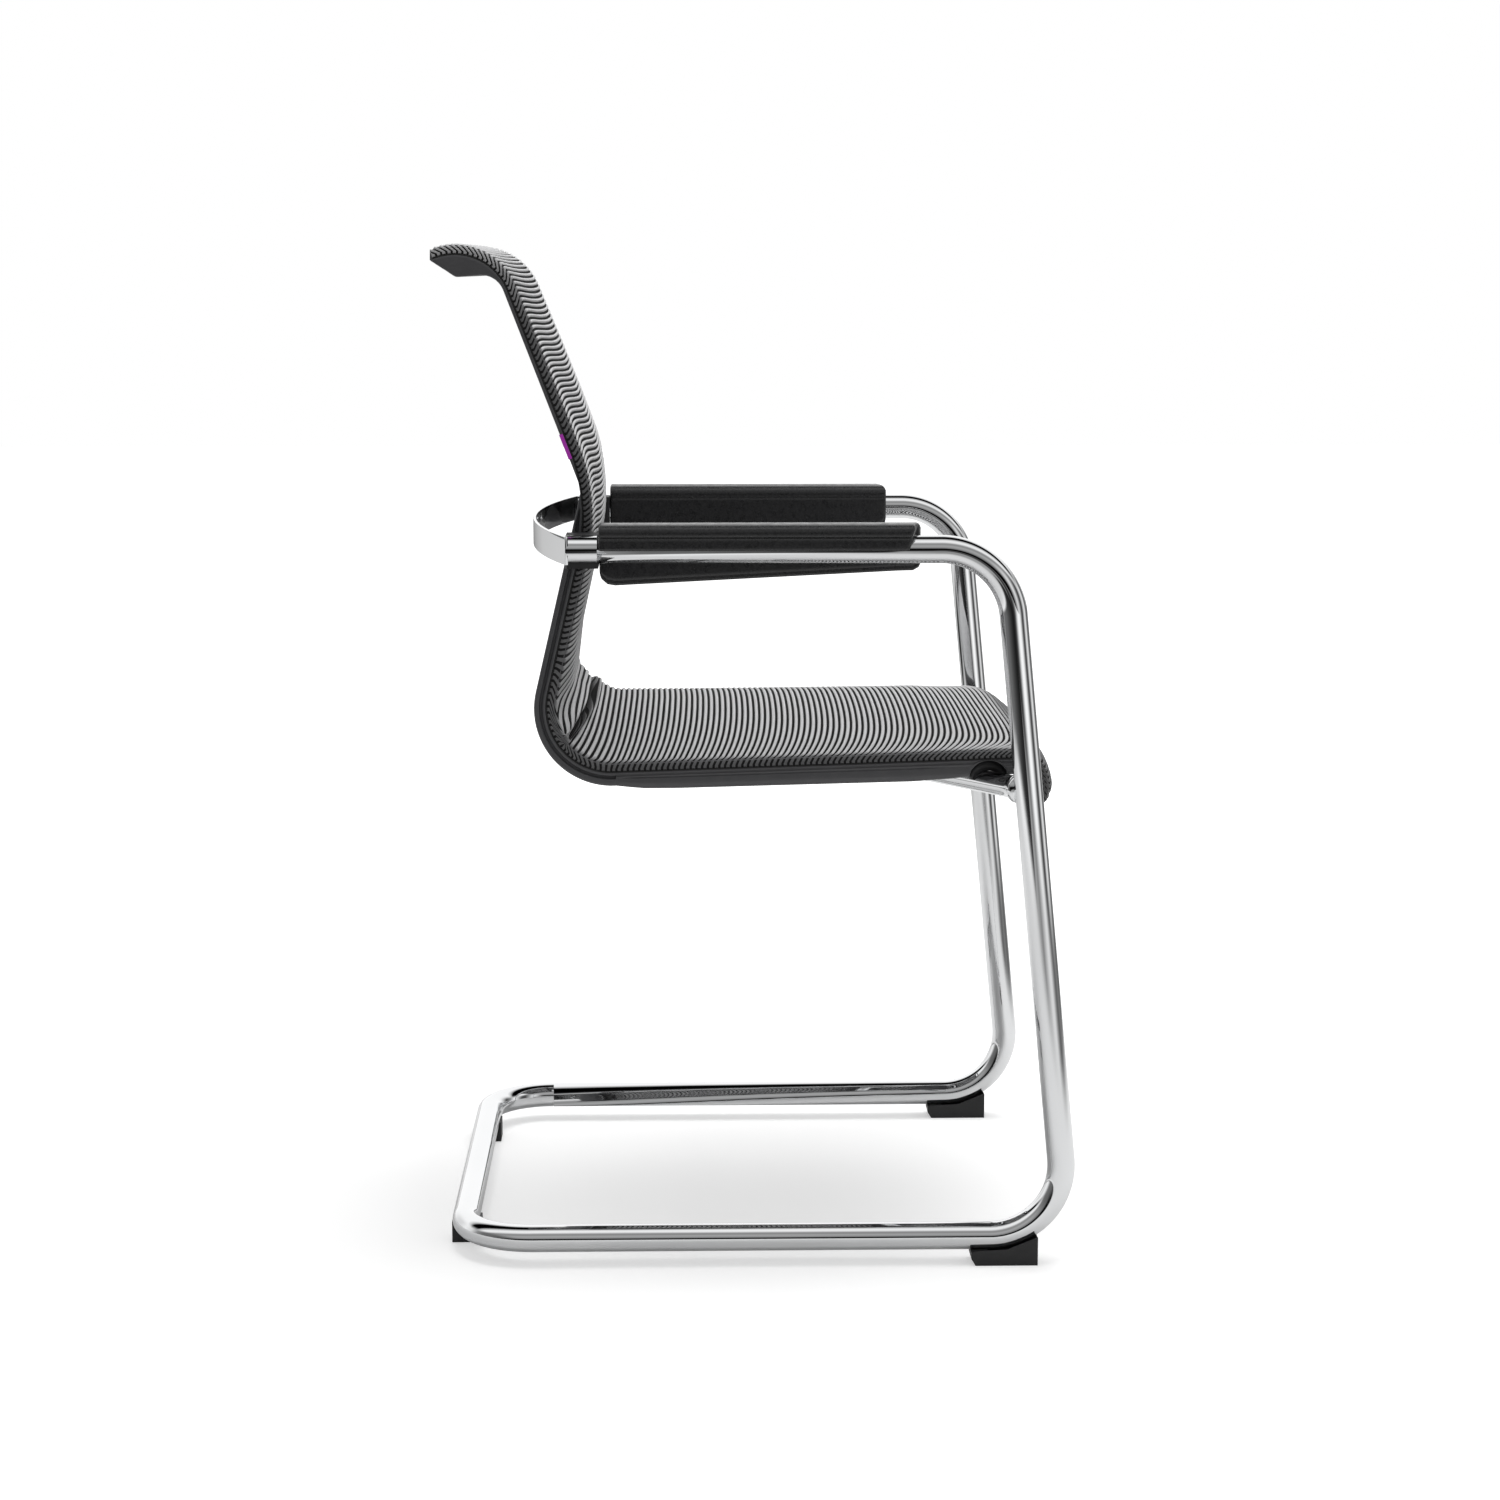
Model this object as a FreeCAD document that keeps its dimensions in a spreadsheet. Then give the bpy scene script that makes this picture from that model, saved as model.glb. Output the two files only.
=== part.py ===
import FreeCAD, Part
import math
import os

import Sketcher

# Cantilever conference armchair: a bent tube frame on glides, a mesh seat-and-back sling
# on moulded side frames, and padded arms joined to the back by a flat band.
#
# All sizes are in millimetres. The sitter faces -Y, +Z is up, +X is the sitter's left.
# "Reach" is measured forwards from the axis of the rear floor bar, so Y = middle - reach.

os.makedirs("parts", exist_ok=True)
doc = FreeCAD.newDocument("cantilever_chair")

# Driving sizes

SIZES = {
    # Bent tube frame
    "tube_od": 27.0,
    "tube_wall": 2.0,
    "tube_spacing": 545.0,
    "bend_radius": 70.0,
    "ground_gap": 13.0,
    "foot_reach": 594.5,
    "leg_lean": 5.65,
    "arm_axis": 702.0,
    "arm_end_ahead": 15.9,
    "seating_gap": 0.2,
    # Bowed tube that carries the seat
    "support_od": 22.0,
    "support_axis": 469.5,
    "support_angle": 35.0,
    "support_run": 270.0,
    "support_bend": 60.0,
    # Side outline of the sling: the line where plastic meets mesh
    "top_height": 993.3,
    "top_radius": 54.0,
    "tip_straight": 4.0,
    "tip_rise": 18.6,
    "back_lean": 21.0,
    "lumbar_reach": 131.4,
    "lumbar_height": 743.8,
    "lumbar_radius": 180.0,
    "lower_lean": 13.1,
    "bend_rise": 11.0,
    "seat_bend_radius": 62.0,
    "seat_rise": 1.8,
    "nose_ahead": 15.3,
    "nose_radius": 30.0,
    "nose_tuck": 4.6,
    "nose_drop": 48.1,
    # Moulded side frames and crossbars
    "shell_width": 470.0,
    "rail_width": 26.0,
    "lip_height": 6.2,
    "strip_depth": 4.5,
    "lower_depth": 12.3,
    "joint_depth": 14.5,
    "rail_depth": 21.0,
    "nose_depth": 10.0,
    "joint_ahead": 82.9,
    "belly_start": 28.0,
    "belly_rise": 2.5,
    "belly_end": 123.0,
    "neck_end": 67.0,
    "neck_rise": 7.0,
    "shoulder_radius": 14.0,
    "fin_inset": 31.1,
    "fin_drop": 36.0,
    "fin_length": 29.0,
    "fin_slope": 33.5,
    "fin_radius": 6.0,
    "fin_root_radius": 22.0,
    "underside_slope": 4.7,
    "groove_start": 4.0,
    "groove_width": 3.6,
    "groove_depth": 4.0,
    "groove_drop": 5.8,
    "cord_width": 1.2,
    "cord_depth": 2.1,
    "cord_gap": 0.1,
    "arch_radius": 19.0,
    "arch_drop": 21.0,
    "headband_arc": 52.0,
    "headband_run": 30.0,
    "hollow_arc": 48.0,
    "hollow_rim": 8.0,
    "hollow_fin": 16.0,
    "hollow_run": 22.0,
    "bar_thick": 5.0,
    "front_bar_run": 42.0,
    "bend_bar_gap": 2.0,
    "bend_bar_thick": 10.0,
    "bend_bar_first": 38.0,
    "bend_bar_last": 66.0,
    "crossbar_width": 48.0,
    "crossbar_height": 8.0,
    "bar_wall": 3.0,
    "strap_inset": 45.0,
    "strap_width": 22.0,
    "strap_thick": 2.0,
    # Mesh cover
    "mesh_thick": 2.0,
    "mesh_gap": 0.3,
    "crown_top": 0.5,
    "crown_back": 2.5,
    "crown_lower": 5.0,
    "crown_seat": 6.5,
    "crown_nose": 0.5,
    # Arms: fitting, block, band, pads
    "fitting_length": 30.0,
    "spigot_length": 18.0,
    "block_lip": 4.0,
    "band_behind": 14.2,
    "band_bow": 41.5,
    "band_thick": 3.0,
    "band_round": 3.0,
    "pad_rear_gap": 1.4,
    "pad_front_gap": 33.2,
    "pad_overhang": 8.0,
    "pad_rise": 25.0,
    "pad_round": 4.0,
    "pad_cheek": 6.0,
    "panel_thick": 8.5,
    "panel_rear_drop": 36.0,
    "panel_front_drop": 19.5,
    "panel_corner": 12.0,
    "panel_bevel": 3.0,
    # Fasteners
    "bolt_od": 6.0,
    "bolt_pitch": 12.0,
    "bolt_inset": 7.0,
    "head_height": 3.0,
    "head_rim": 2.0,
    "head_sink": 1.5,
    "hole_gap": 0.3,
    # Glides
    "glide_width": 30.0,
    "glide_rear_behind": 95.5,
    "glide_front_behind": 30.5,
    "glide_grip": 1.6,
    "glide_toe": 4.0,
    "glide_ramp": 30.0,
    "glide_nose": 15.5,
    "glide_arc": 50.0,
    "rear_glide_offset": 185.0,
    "rear_glide_rise": 9.0,
    "rear_glide_wall": 1.0,
    # Bare tag on the right back frame
    "tag_rise": 54.7,
    "tag_length": 25.0,
    "tag_thick": 0.6,
    "tag_inset": 1.6,
    "tag_fold": 14.0,
}

sheet = doc.addObject("Spreadsheet::Sheet", "Sizes")
for row, (alias, value) in enumerate(SIZES.items(), start=1):
    sheet.set(f"A{row}", alias.replace("_", " "))
    sheet.set(f"B{row}", str(value))
    sheet.setAlias(f"B{row}", alias)
layout = doc.addObject("App::VarSet", "Layout")
doc.recompute()


class Dim:
    """A length or an angle that knows its value now and its formula in the document."""

    def __init__(self, value, text=None):
        self.value = float(value)
        self.text = text if text is not None else repr(float(value))

    def __add__(self, other):
        other = dim(other)
        return Dim(self.value + other.value, f"({self.text} + {other.text})")

    def __sub__(self, other):
        other = dim(other)
        return Dim(self.value - other.value, f"({self.text} - {other.text})")

    def __mul__(self, other):
        other = dim(other)
        return Dim(self.value * other.value, f"({self.text} * {other.text})")

    def __truediv__(self, other):
        other = dim(other)
        return Dim(self.value / other.value, f"({self.text} / {other.text})")

    def __rsub__(self, other):
        return dim(other) - self

    def __radd__(self, other):
        return dim(other) + self

    def __rmul__(self, other):
        return dim(other) * self

    def __neg__(self):
        return Dim(-self.value, f"(0 - {self.text})")


def dim(value):
    return value if isinstance(value, Dim) else Dim(value)


def sine(angle):
    angle = dim(angle)
    return Dim(math.sin(math.radians(angle.value)), f"sin({angle.text})")


def cosine(angle):
    angle = dim(angle)
    return Dim(math.cos(math.radians(angle.value)), f"cos({angle.text})")


def tangent(angle):
    angle = dim(angle)
    return Dim(math.tan(math.radians(angle.value)), f"tan({angle.text})")


def derived(name, size):
    """Keep a worked-out size under its own name in the document, bound to its formula."""
    layout.addProperty("App::PropertyFloat", name, "Worked out")
    layout.setExpression(name, size.text)
    return Dim(size.value, f"Layout.{name}")


class Sizes:
    """Every driving size as an attribute."""

    def __getattr__(self, name):
        return Dim(SIZES[name], f"Sizes.{name}")


s = Sizes()

# Places that several pieces share

tube_r = derived("tube_r", s.tube_od / 2)
half_spacing = derived("half_spacing", s.tube_spacing / 2)
rail_axis = derived("rail_axis", s.ground_gap + tube_r)
foot_turn = derived("foot_turn", s.leg_lean + 90)
foot_tangent = derived("foot_tangent", s.bend_radius * tangent(foot_turn / 2))
front_reach = s.foot_reach - foot_tangent + s.bend_radius + tube_r
tip_tangent = s.top_radius * tangent((s.tip_rise + 90 - s.back_lean) / 2)
tip_length = derived("tip_length", tip_tangent + s.tip_straight)
top_reach = derived(
    "top_reach", s.lumbar_reach - (s.top_height - s.lumbar_height) * tangent(s.back_lean))
tip_reach = top_reach - tip_length * cosine(s.tip_rise)
mesh_face = s.lip_height + s.mesh_gap + s.mesh_thick
rear_reach = tip_reach - (mesh_face + s.crown_top) * sine(s.tip_rise)
middle = derived("middle", (front_reach + rear_reach) / 2)
shell_outer = derived("shell_outer", s.shell_width / 2)
shell_inner = derived("shell_inner", shell_outer - s.rail_width)
lip_outer = derived("lip_outer", shell_outer - s.mesh_thick - s.mesh_gap)


def fore(reach):
    """Y of a point that lies this far in front of the rear bar."""
    return middle - reach


def leg_reach(height):
    """Reach of the leg's axis at a height."""
    return s.foot_reach - (height - rail_axis) * tangent(s.leg_lean)


# The side frames' line passes the arm at the waist, and the arm's end, the band and the pads
# keep their distances from it

knuckle_tangent = derived("knuckle_tangent", s.bend_radius * tangent((90 - s.leg_lean) / 2))
waist_reach = derived(
    "waist_reach", s.lumbar_reach - (s.lumbar_height - s.arm_axis) * tangent(s.lower_lean))
arm_end_reach = derived("arm_end_reach", waist_reach + s.arm_end_ahead)
band_end_reach = derived("band_end_reach", waist_reach - s.band_behind)
pad_rear_reach = derived("pad_rear_reach", arm_end_reach + s.pad_rear_gap)
pad_front_reach = derived(
    "pad_front_reach", leg_reach(s.arm_axis) - knuckle_tangent - s.pad_front_gap)
bolt_reach = derived("bolt_reach", waist_reach - s.bolt_inset)

# The seat stands on the bowed tube between the legs

support_leg = derived("support_leg", leg_reach(s.support_axis))
bend_height = derived("bend_height", s.support_axis + s.bend_rise)
bend_reach = derived(
    "bend_reach", s.lumbar_reach - (s.lumbar_height - bend_height) * tangent(s.lower_lean))
nose_reach = derived("nose_reach", support_leg + s.nose_ahead)
joint_reach = derived("joint_reach", bend_reach + s.joint_ahead)

# Plane geometry in the side view, as points (Y, Z) and headings in degrees


def along(point, heading, distance):
    return (point[0] + cosine(heading) * distance, point[1] + sine(heading) * distance)


def beside(point, heading, distance):
    """The point moved to the left of a heading."""
    return (point[0] - sine(heading) * distance, point[1] + cosine(heading) * distance)


def crossing(p, a, q, b):
    """Where the line through p at heading a meets the line through q at heading b."""
    share = (q[0] - p[0]) * sine(b) - (q[1] - p[1]) * cosine(b)
    return along(p, a, share / sine(b - a))


def keep(name, point):
    return (derived(name + "_y", point[0]), derived(name + "_z", point[1]))


class Outline:
    """A run of straight lines joined by tangent arcs, walked from its start."""

    def __init__(self, start):
        self.points = [start]
        self.pieces = []

    def line(self, point):
        self.pieces.append(("line", len(self.points) - 1, len(self.points), None, None, 0))
        self.points.append(point)
        return self

    def round(self, corner, a, b, radius):
        """Go straight towards a corner, then round it from heading a to heading b."""
        turn = b - a
        reach = derived_length(radius, turn)
        self.line(along(corner, a, -reach))
        return self.bend(along(corner, b, reach), a, b, radius)

    def bend(self, end, a, b, radius):
        """An arc to the end point that leaves at heading a and arrives at heading b."""
        self.pieces.append(("arc", len(self.points) - 1, len(self.points), radius, a, b))
        self.points.append(end)
        return self


def derived_length(radius, turn):
    """Distance from a corner to the start of its arc."""
    size = radius * tangent(turn / 2)
    return size if turn.value > 0 else -size


def draw(sketch, outline, closed=True):
    """Draw an outline in a sketch and bind every point and radius to the sizes."""
    points = outline.points
    pieces = list(outline.pieces)
    if closed:
        pieces.append(("line", len(points) - 1, 0, None, None, 0))
    owner = {}

    def own(index, geometry, position):
        if index in owner:
            other = owner[index]
            sketch.addConstraint(Sketcher.Constraint("Coincident", geometry, position, *other))
            return
        owner[index] = (geometry, position)
        for kind, size in zip(("DistanceX", "DistanceY"), points[index]):
            number = sketch.addConstraint(
                Sketcher.Constraint(kind, -1, 1, geometry, position, size.value))
            sketch.setExpression(f"Constraints[{number}]", size.text)

    for kind, first, last, radius, a, b in pieces:
        start, end = (FreeCAD.Vector(points[i][0].value, points[i][1].value, 0)
                      for i in (first, last))
        if kind == "line":
            geometry = sketch.addGeometry(Part.LineSegment(start, end), False)
            own(first, geometry, 1)
            own(last, geometry, 2)
            continue
        left = b.value > a.value
        normal = FreeCAD.Vector(-math.sin(math.radians(a.value)),
                                math.cos(math.radians(a.value)), 0)
        centre = start + normal * (radius.value if left else -radius.value)
        circle = Part.Circle(centre, FreeCAD.Vector(0, 0, 1), radius.value)
        angles = [math.atan2(p.y - centre.y, p.x - centre.x) for p in (start, end)]
        if not left:
            angles.reverse()
        geometry = sketch.addGeometry(Part.ArcOfCircle(circle, *angles), False)
        own(first, geometry, 1 if left else 2)
        own(last, geometry, 2 if left else 1)
        number = sketch.addConstraint(Sketcher.Constraint("Radius", geometry, radius.value))
        sketch.setExpression(f"Constraints[{number}]", radius.text)


def draw_circle(sketch, centre, radius):
    """Draw one circle and bind its place and radius."""
    at = FreeCAD.Vector(centre[0].value, centre[1].value, 0)
    circle = Part.Circle(at, FreeCAD.Vector(0, 0, 1), radius.value)
    geometry = sketch.addGeometry(circle, False)
    for kind, size in (("DistanceX", centre[0]), ("DistanceY", centre[1])):
        number = sketch.addConstraint(Sketcher.Constraint(kind, -1, 1, geometry, 3, size.value))
        sketch.setExpression(f"Constraints[{number}]", size.text)
    number = sketch.addConstraint(Sketcher.Constraint("Radius", geometry, radius.value))
    sketch.setExpression(f"Constraints[{number}]", radius.text)


# Document helpers

TURNS = {
    "XY": FreeCAD.Rotation(),
    "XZ": FreeCAD.Rotation(FreeCAD.Vector(1, 0, 0), 90),
    "YZ": FreeCAD.Rotation(FreeCAD.Vector(1, 1, 1), 120),
}


def free_sketch(name, plane, offset, axis):
    """A sketch on a plane moved along one axis, for sweeps, lofts and extrusions."""
    sketch = doc.addObject("Sketcher::SketchObject", name)
    sketch.Placement = FreeCAD.Placement(FreeCAD.Vector(), TURNS[plane])
    sketch.setExpression(f"Placement.Base.{axis}", dim(offset).text)
    return sketch


def new_body(name):
    body = doc.addObject("PartDesign::Body", name)
    body.Label = name
    return body


def body_sketch(body, name, plane, offset=0.0):
    """A sketch on one of the body's own origin planes, moved along the plane's normal."""
    sketch = body.newObject("Sketcher::SketchObject", name)
    role = plane + "_Plane"
    support = [f for f in body.Origin.OriginFeatures if f.Role == role][0]
    sketch.AttachmentSupport = [(support, "")]
    sketch.MapMode = "FlatFace"
    sketch.setExpression("AttachmentOffset.Base.z", dim(offset).text)
    return sketch


def pad(body, sketch, length, back=False, both=False):
    feature = body.newObject("PartDesign::Pad", sketch.Name + "_pad")
    feature.Profile = sketch
    feature.setExpression("Length", dim(length).text)
    feature.Reversed = back
    feature.Midplane = both
    sketch.Visibility = False
    body.Tip = feature
    return feature


def pocket(body, sketch, length, back=False, both=False):
    feature = body.newObject("PartDesign::Pocket", sketch.Name + "_pocket")
    feature.Profile = sketch
    feature.setExpression("Length", dim(length).text)
    feature.Reversed = back
    feature.Midplane = both
    sketch.Visibility = False
    body.Tip = feature
    return feature


def round_edges(body, radius, wanted):
    """Fillet the edges of the body's last feature that a test picks."""
    doc.recompute()
    base = body.Tip
    names = [f"Edge{i}" for i, e in enumerate(base.Shape.Edges, 1) if wanted(e)]
    feature = body.newObject("PartDesign::Fillet", base.Name + "_round")
    feature.Base = (base, names)
    feature.setExpression("Radius", dim(radius).text)
    body.Tip = feature
    return feature


def fuse(name, *objects):
    feature = doc.addObject("Part::MultiFuse", name)
    feature.Shapes = list(objects)
    feature.Label = name
    return feature


def cut(name, base, *tools):
    """The base with one tool, or several joined, taken away."""
    feature = doc.addObject("Part::Cut", name)
    feature.Base = base
    feature.Tool = tools[0] if len(tools) == 1 else fuse(name + "_tools", *tools)
    feature.Label = name
    return feature


def cylinder(name, radius, length, place, axis="x"):
    """A cylinder that starts at a place and runs along an axis."""
    feature = doc.addObject("Part::Cylinder", name)
    turn = {"x": ((0, 1, 0), 90), "-x": ((0, 1, 0), -90), "y": ((1, 0, 0), -90),
            "-y": ((1, 0, 0), 90), "z": ((0, 0, 1), 0), "-z": ((1, 0, 0), 180)}[axis]
    feature.Placement = FreeCAD.Placement(
        FreeCAD.Vector(), FreeCAD.Rotation(FreeCAD.Vector(*turn[0]), turn[1]))
    feature.setExpression("Radius", dim(radius).text)
    feature.setExpression("Height", dim(length).text)
    for letter, size in zip("xyz", place):
        feature.setExpression(f"Placement.Base.{letter}", dim(size).text)
    return feature


def box(name, size, place):
    """A box by its three sizes and its lowest corner."""
    feature = doc.addObject("Part::Box", name)
    for key, length in zip(("Length", "Width", "Height"), size):
        feature.setExpression(key, dim(length).text)
    for letter, length in zip("xyz", place):
        feature.setExpression(f"Placement.Base.{letter}", dim(length).text)
    return feature


def extrusion(name, sketch, length, direction):
    feature = doc.addObject("Part::Extrusion", name)
    feature.Base = sketch
    feature.DirMode = "Custom"
    feature.Dir = FreeCAD.Vector(*direction)
    feature.setExpression("LengthFwd", dim(length).text)
    feature.Solid = True
    return feature


parts = []


def finished(feature, name):
    """Hand a piece in under its own name."""
    feature.Label = name
    parts.append((name, feature))
    return feature


SIDES = (("left", 1), ("right", -1))

# Bent tube frame: the rear floor bar with its corners, and one run for each side


def rear_path():
    path = free_sketch("rear_path", "XY", rail_axis, "z")
    corner = fore(0)
    line = Outline((-half_spacing, fore(s.bend_radius)))
    line.bend((s.bend_radius - half_spacing, corner), dim(90), dim(0), s.bend_radius)
    line.line((half_spacing - s.bend_radius, corner))
    line.bend((half_spacing, fore(s.bend_radius)), dim(0), dim(-90), s.bend_radius)
    draw(path, line, closed=False)
    return path


def side_path(side, sign):
    """From the rear corner along the floor, up the leg and back along the arm."""
    path = free_sketch(f"{side}_path", "YZ", half_spacing * sign, "x")
    foot = keep(f"{side}_foot", (fore(s.foot_reach), rail_axis))
    knuckle = keep(f"{side}_knuckle", (fore(leg_reach(s.arm_axis)), s.arm_axis))
    up = 90 - s.leg_lean
    run = Outline((fore(s.bend_radius), rail_axis))
    run.round(foot, dim(180), up, s.bend_radius)
    run.round(knuckle, up, dim(0), s.bend_radius)
    run.line((fore(arm_end_reach), s.arm_axis))
    draw(path, run, closed=False)
    return path


def sweep(name, path, radius, plane, place):
    """A round bar along a path that starts square to the given plane."""
    ring = doc.addObject("Sketcher::SketchObject", name + "_ring")
    ring.Placement = FreeCAD.Placement(FreeCAD.Vector(), TURNS[plane])
    for letter, size in zip("xyz", place):
        ring.setExpression(f"Placement.Base.{letter}", dim(size).text)
    draw_circle(ring, (dim(0), dim(0)), dim(radius))
    feature = doc.addObject("Part::Sweep", name)
    feature.Sections = [ring]
    count = path.GeometryCount
    feature.Spine = (path, [f"Edge{i}" for i in range(1, count + 1)])
    feature.Solid = True
    feature.Transition = "Transformed"
    return feature


paths = {"rear": rear_path()}
for side, sign in SIDES:
    paths[side] = side_path(side, sign)

starts = {
    "rear": (-half_spacing, fore(s.bend_radius), rail_axis),
    "left": (half_spacing, fore(s.bend_radius), rail_axis),
    "right": (-half_spacing, fore(s.bend_radius), rail_axis),
}


def tube_runs(kind, radius):
    return [sweep(f"{place}_{kind}", paths[place], radius, "XZ", starts[place])
            for place in ("rear", "left", "right")]


outer_runs = tube_runs("outer", tube_r)
seat_runs = dict(zip(("rear", "left", "right"), tube_runs("seating", tube_r + s.seating_gap)))

# The tube shows its bore only at the arm ends, so it is bored as far as the upper bends
bore_length = leg_reach(s.arm_axis) - knuckle_tangent - arm_end_reach
bores = [cylinder(f"{side}_bore", tube_r - s.tube_wall, bore_length,
                  (half_spacing * sign, fore(arm_end_reach), s.arm_axis), "-y")
         for side, sign in SIDES]
frame_skin = fuse("frame_skin", *outer_runs)
finished(cut("frame_tube", frame_skin, *bores), "cantilever_frame")

# Bowed tube under the seat, coped to the legs

support_r = derived("support_r", s.support_od / 2)
support_back = derived(
    "support_back",
    support_leg - (half_spacing - s.support_run / 2) * tangent(s.support_angle))


def support_path():
    path = free_sketch("support_path", "XY", s.support_axis, "z")
    slope = s.support_angle
    left_corner = (s.support_run / 2, fore(support_back))
    right_corner = (-s.support_run / 2, fore(support_back))
    run = Outline((-half_spacing, fore(support_leg)))
    run.round(right_corner, slope, dim(0), s.support_bend)
    run.round(left_corner, dim(0), -slope, s.support_bend)
    run.line((half_spacing, fore(support_leg)))
    draw(path, run, closed=False)
    return path


def support_sweep(name, path, radius):
    ring = doc.addObject("Sketcher::SketchObject", name + "_ring")
    ring.Placement = FreeCAD.Placement(FreeCAD.Vector(), FreeCAD.Rotation(
        FreeCAD.Vector(0, 0, 1), SIZES["support_angle"]) * TURNS["YZ"])
    for letter, size in zip("xyz", (-half_spacing, fore(support_leg), s.support_axis)):
        ring.setExpression(f"Placement.Base.{letter}", size.text)
    draw_circle(ring, (dim(0), dim(0)), radius)
    feature = doc.addObject("Part::Sweep", name)
    feature.Sections = [ring]
    feature.Spine = (path, [f"Edge{i}" for i in range(1, 6)])
    feature.Solid = True
    feature.Transition = "Transformed"
    return feature


bow = support_path()
support_bar = support_sweep("support_bar", bow, support_r)
finished(cut("support", support_bar, seat_runs["left"], seat_runs["right"]), "seat_support_tube")

# Side outline of the sling, walked from the tip of the back down and forward to the nose

TIP = 180 - s.tip_rise
DOWN = 270 - s.back_lean
WAIST = 270 + s.lower_lean
SEAT = 180 - s.seat_rise
TUCK = 270 + s.nose_tuck

top_corner = keep("top_corner", (fore(top_reach), s.top_height))
lumbar_corner = keep("lumbar_corner", (fore(s.lumbar_reach), s.lumbar_height))
bend_corner = keep("bend_corner", (fore(bend_reach), bend_height))
nose_height = bend_height + (nose_reach - bend_reach) * tangent(s.seat_rise)
nose_corner = keep("nose_corner", (fore(nose_reach), nose_height))
tip_point = keep("tip_point", along(top_corner, TIP, -tip_length))
tuck_length = s.nose_drop / cosine(s.nose_tuck)
tuck_point = keep("tuck_point", along(nose_corner, TUCK, tuck_length))
CORNERS = (
    (top_corner, TIP, DOWN, s.top_radius),
    (lumbar_corner, DOWN, WAIST, s.lumbar_radius),
    (bend_corner, WAIST, SEAT, s.seat_bend_radius),
    (nose_corner, SEAT, TUCK, s.nose_radius),
)
depth_count = [0]


def seat_point(reach, depth):
    """A point below the seat line at a reach."""
    height = bend_height + (reach - bend_reach) * tangent(s.seat_rise)
    return beside((fore(reach), height), SEAT, depth)


def corner_beside(corner, depth_in, depth_out):
    """The corner of two lines moved to their left by two depths."""
    point, a, b, radius = corner
    p = beside(point, a, depth_in)
    q = beside(point, b, depth_out)
    place = crossing(p, a, q, b)
    average = (depth_in + depth_out) / 2
    size = radius - average if b.value > a.value else radius + average
    depth_count[0] += 1
    kept = keep(f"corner{depth_count[0]}", place)
    return kept, a, b, derived(f"corner{depth_count[0]}_r", size)


def sling_run(depths, first=0, last=4, start=None, end=None):
    """The outline moved outwards by one depth for each straight stretch.

    depths holds five values: at the tip, upper back, lower back, seat and nose.
    """
    depths = [dim(d) for d in depths]
    if start is None:
        start = beside(tip_point, TIP, depths[0])
    run = Outline(start)
    for number in range(first, last):
        run.round(*corner_beside(CORNERS[number], depths[number], depths[number + 1]))
    if end is None:
        end = beside(tuck_point, TUCK, depths[4])
    run.line(end)
    return run


def add_reversed(run, other):
    """Close a run by walking another one backwards."""
    offset = len(run.points)
    last = offset + len(other.points) - 1
    run.pieces.append(("line", offset - 1, offset, None, None, 0))
    run.points.extend(reversed(other.points))
    for kind, first, end, radius, a, b in reversed(other.pieces):
        turned = (b + 180, a + 180) if kind == "arc" else (None, 0)
        run.pieces.append((kind, last - end, last - first, radius, *turned))
    return run


def band(depth_a, depth_b, first=0, last=4, starts_at=None, ends_at=None):
    """A closed strip between two depths beside the outline."""
    runs = []
    for depths in (depth_a, depth_b):
        start = starts_at(depths) if starts_at else None
        end = ends_at(depths) if ends_at else None
        runs.append(sling_run(depths, first, last, start, end))
    return add_reversed(*runs)


def even(depth):
    return [depth] * 5


def at_joint(depths):
    return seat_point(joint_reach, depths[3])


def at_groove_top(depths):
    return along(beside(lumbar_corner, WAIST, depths[2]), WAIST, s.groove_drop / cosine(s.lower_lean))


# Moulded back frames: from the tip down to the joint with the seat rail

fin = keep("fin", (fore(top_reach - s.fin_inset), s.top_height - s.fin_drop))
UNDER_FIN = 180 + s.fin_slope
UNDER_TOP = 180 - s.underside_slope
fin_tip = keep("fin_tip", along(fin, UNDER_FIN, -s.fin_length))
strip_line = beside(top_corner, DOWN, s.strip_depth)
arch_corner = keep("arch_corner", crossing(fin, UNDER_TOP, strip_line, DOWN))


def back_outline():
    """Outer edge with its fin, thin strip and deep lower rib, closed along the mesh line."""
    depths = [s.strip_depth, s.strip_depth, s.lower_depth, s.joint_depth, s.joint_depth]
    run = Outline(fin_tip)
    run.round(fin, UNDER_FIN, UNDER_TOP, s.fin_radius)
    run.round(arch_corner, UNDER_TOP, DOWN, s.fin_root_radius)
    shoulder, a, b, size = corner_beside(CORNERS[1], depths[1], depths[2])
    run.round(shoulder, a, b, s.shoulder_radius)
    run.round(*corner_beside(CORNERS[2], depths[2], depths[3]))
    run.line(at_joint(depths))
    return add_reversed(run, sling_run(even(0), 0, 3, None, at_joint(even(0))))


bolt_heights = (s.arm_axis - s.bolt_pitch / 2, s.arm_axis + s.bolt_pitch / 2)
channel_width = s.cord_width + s.cord_gap * 2
through = s.rail_width + s.bar_wall

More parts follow.
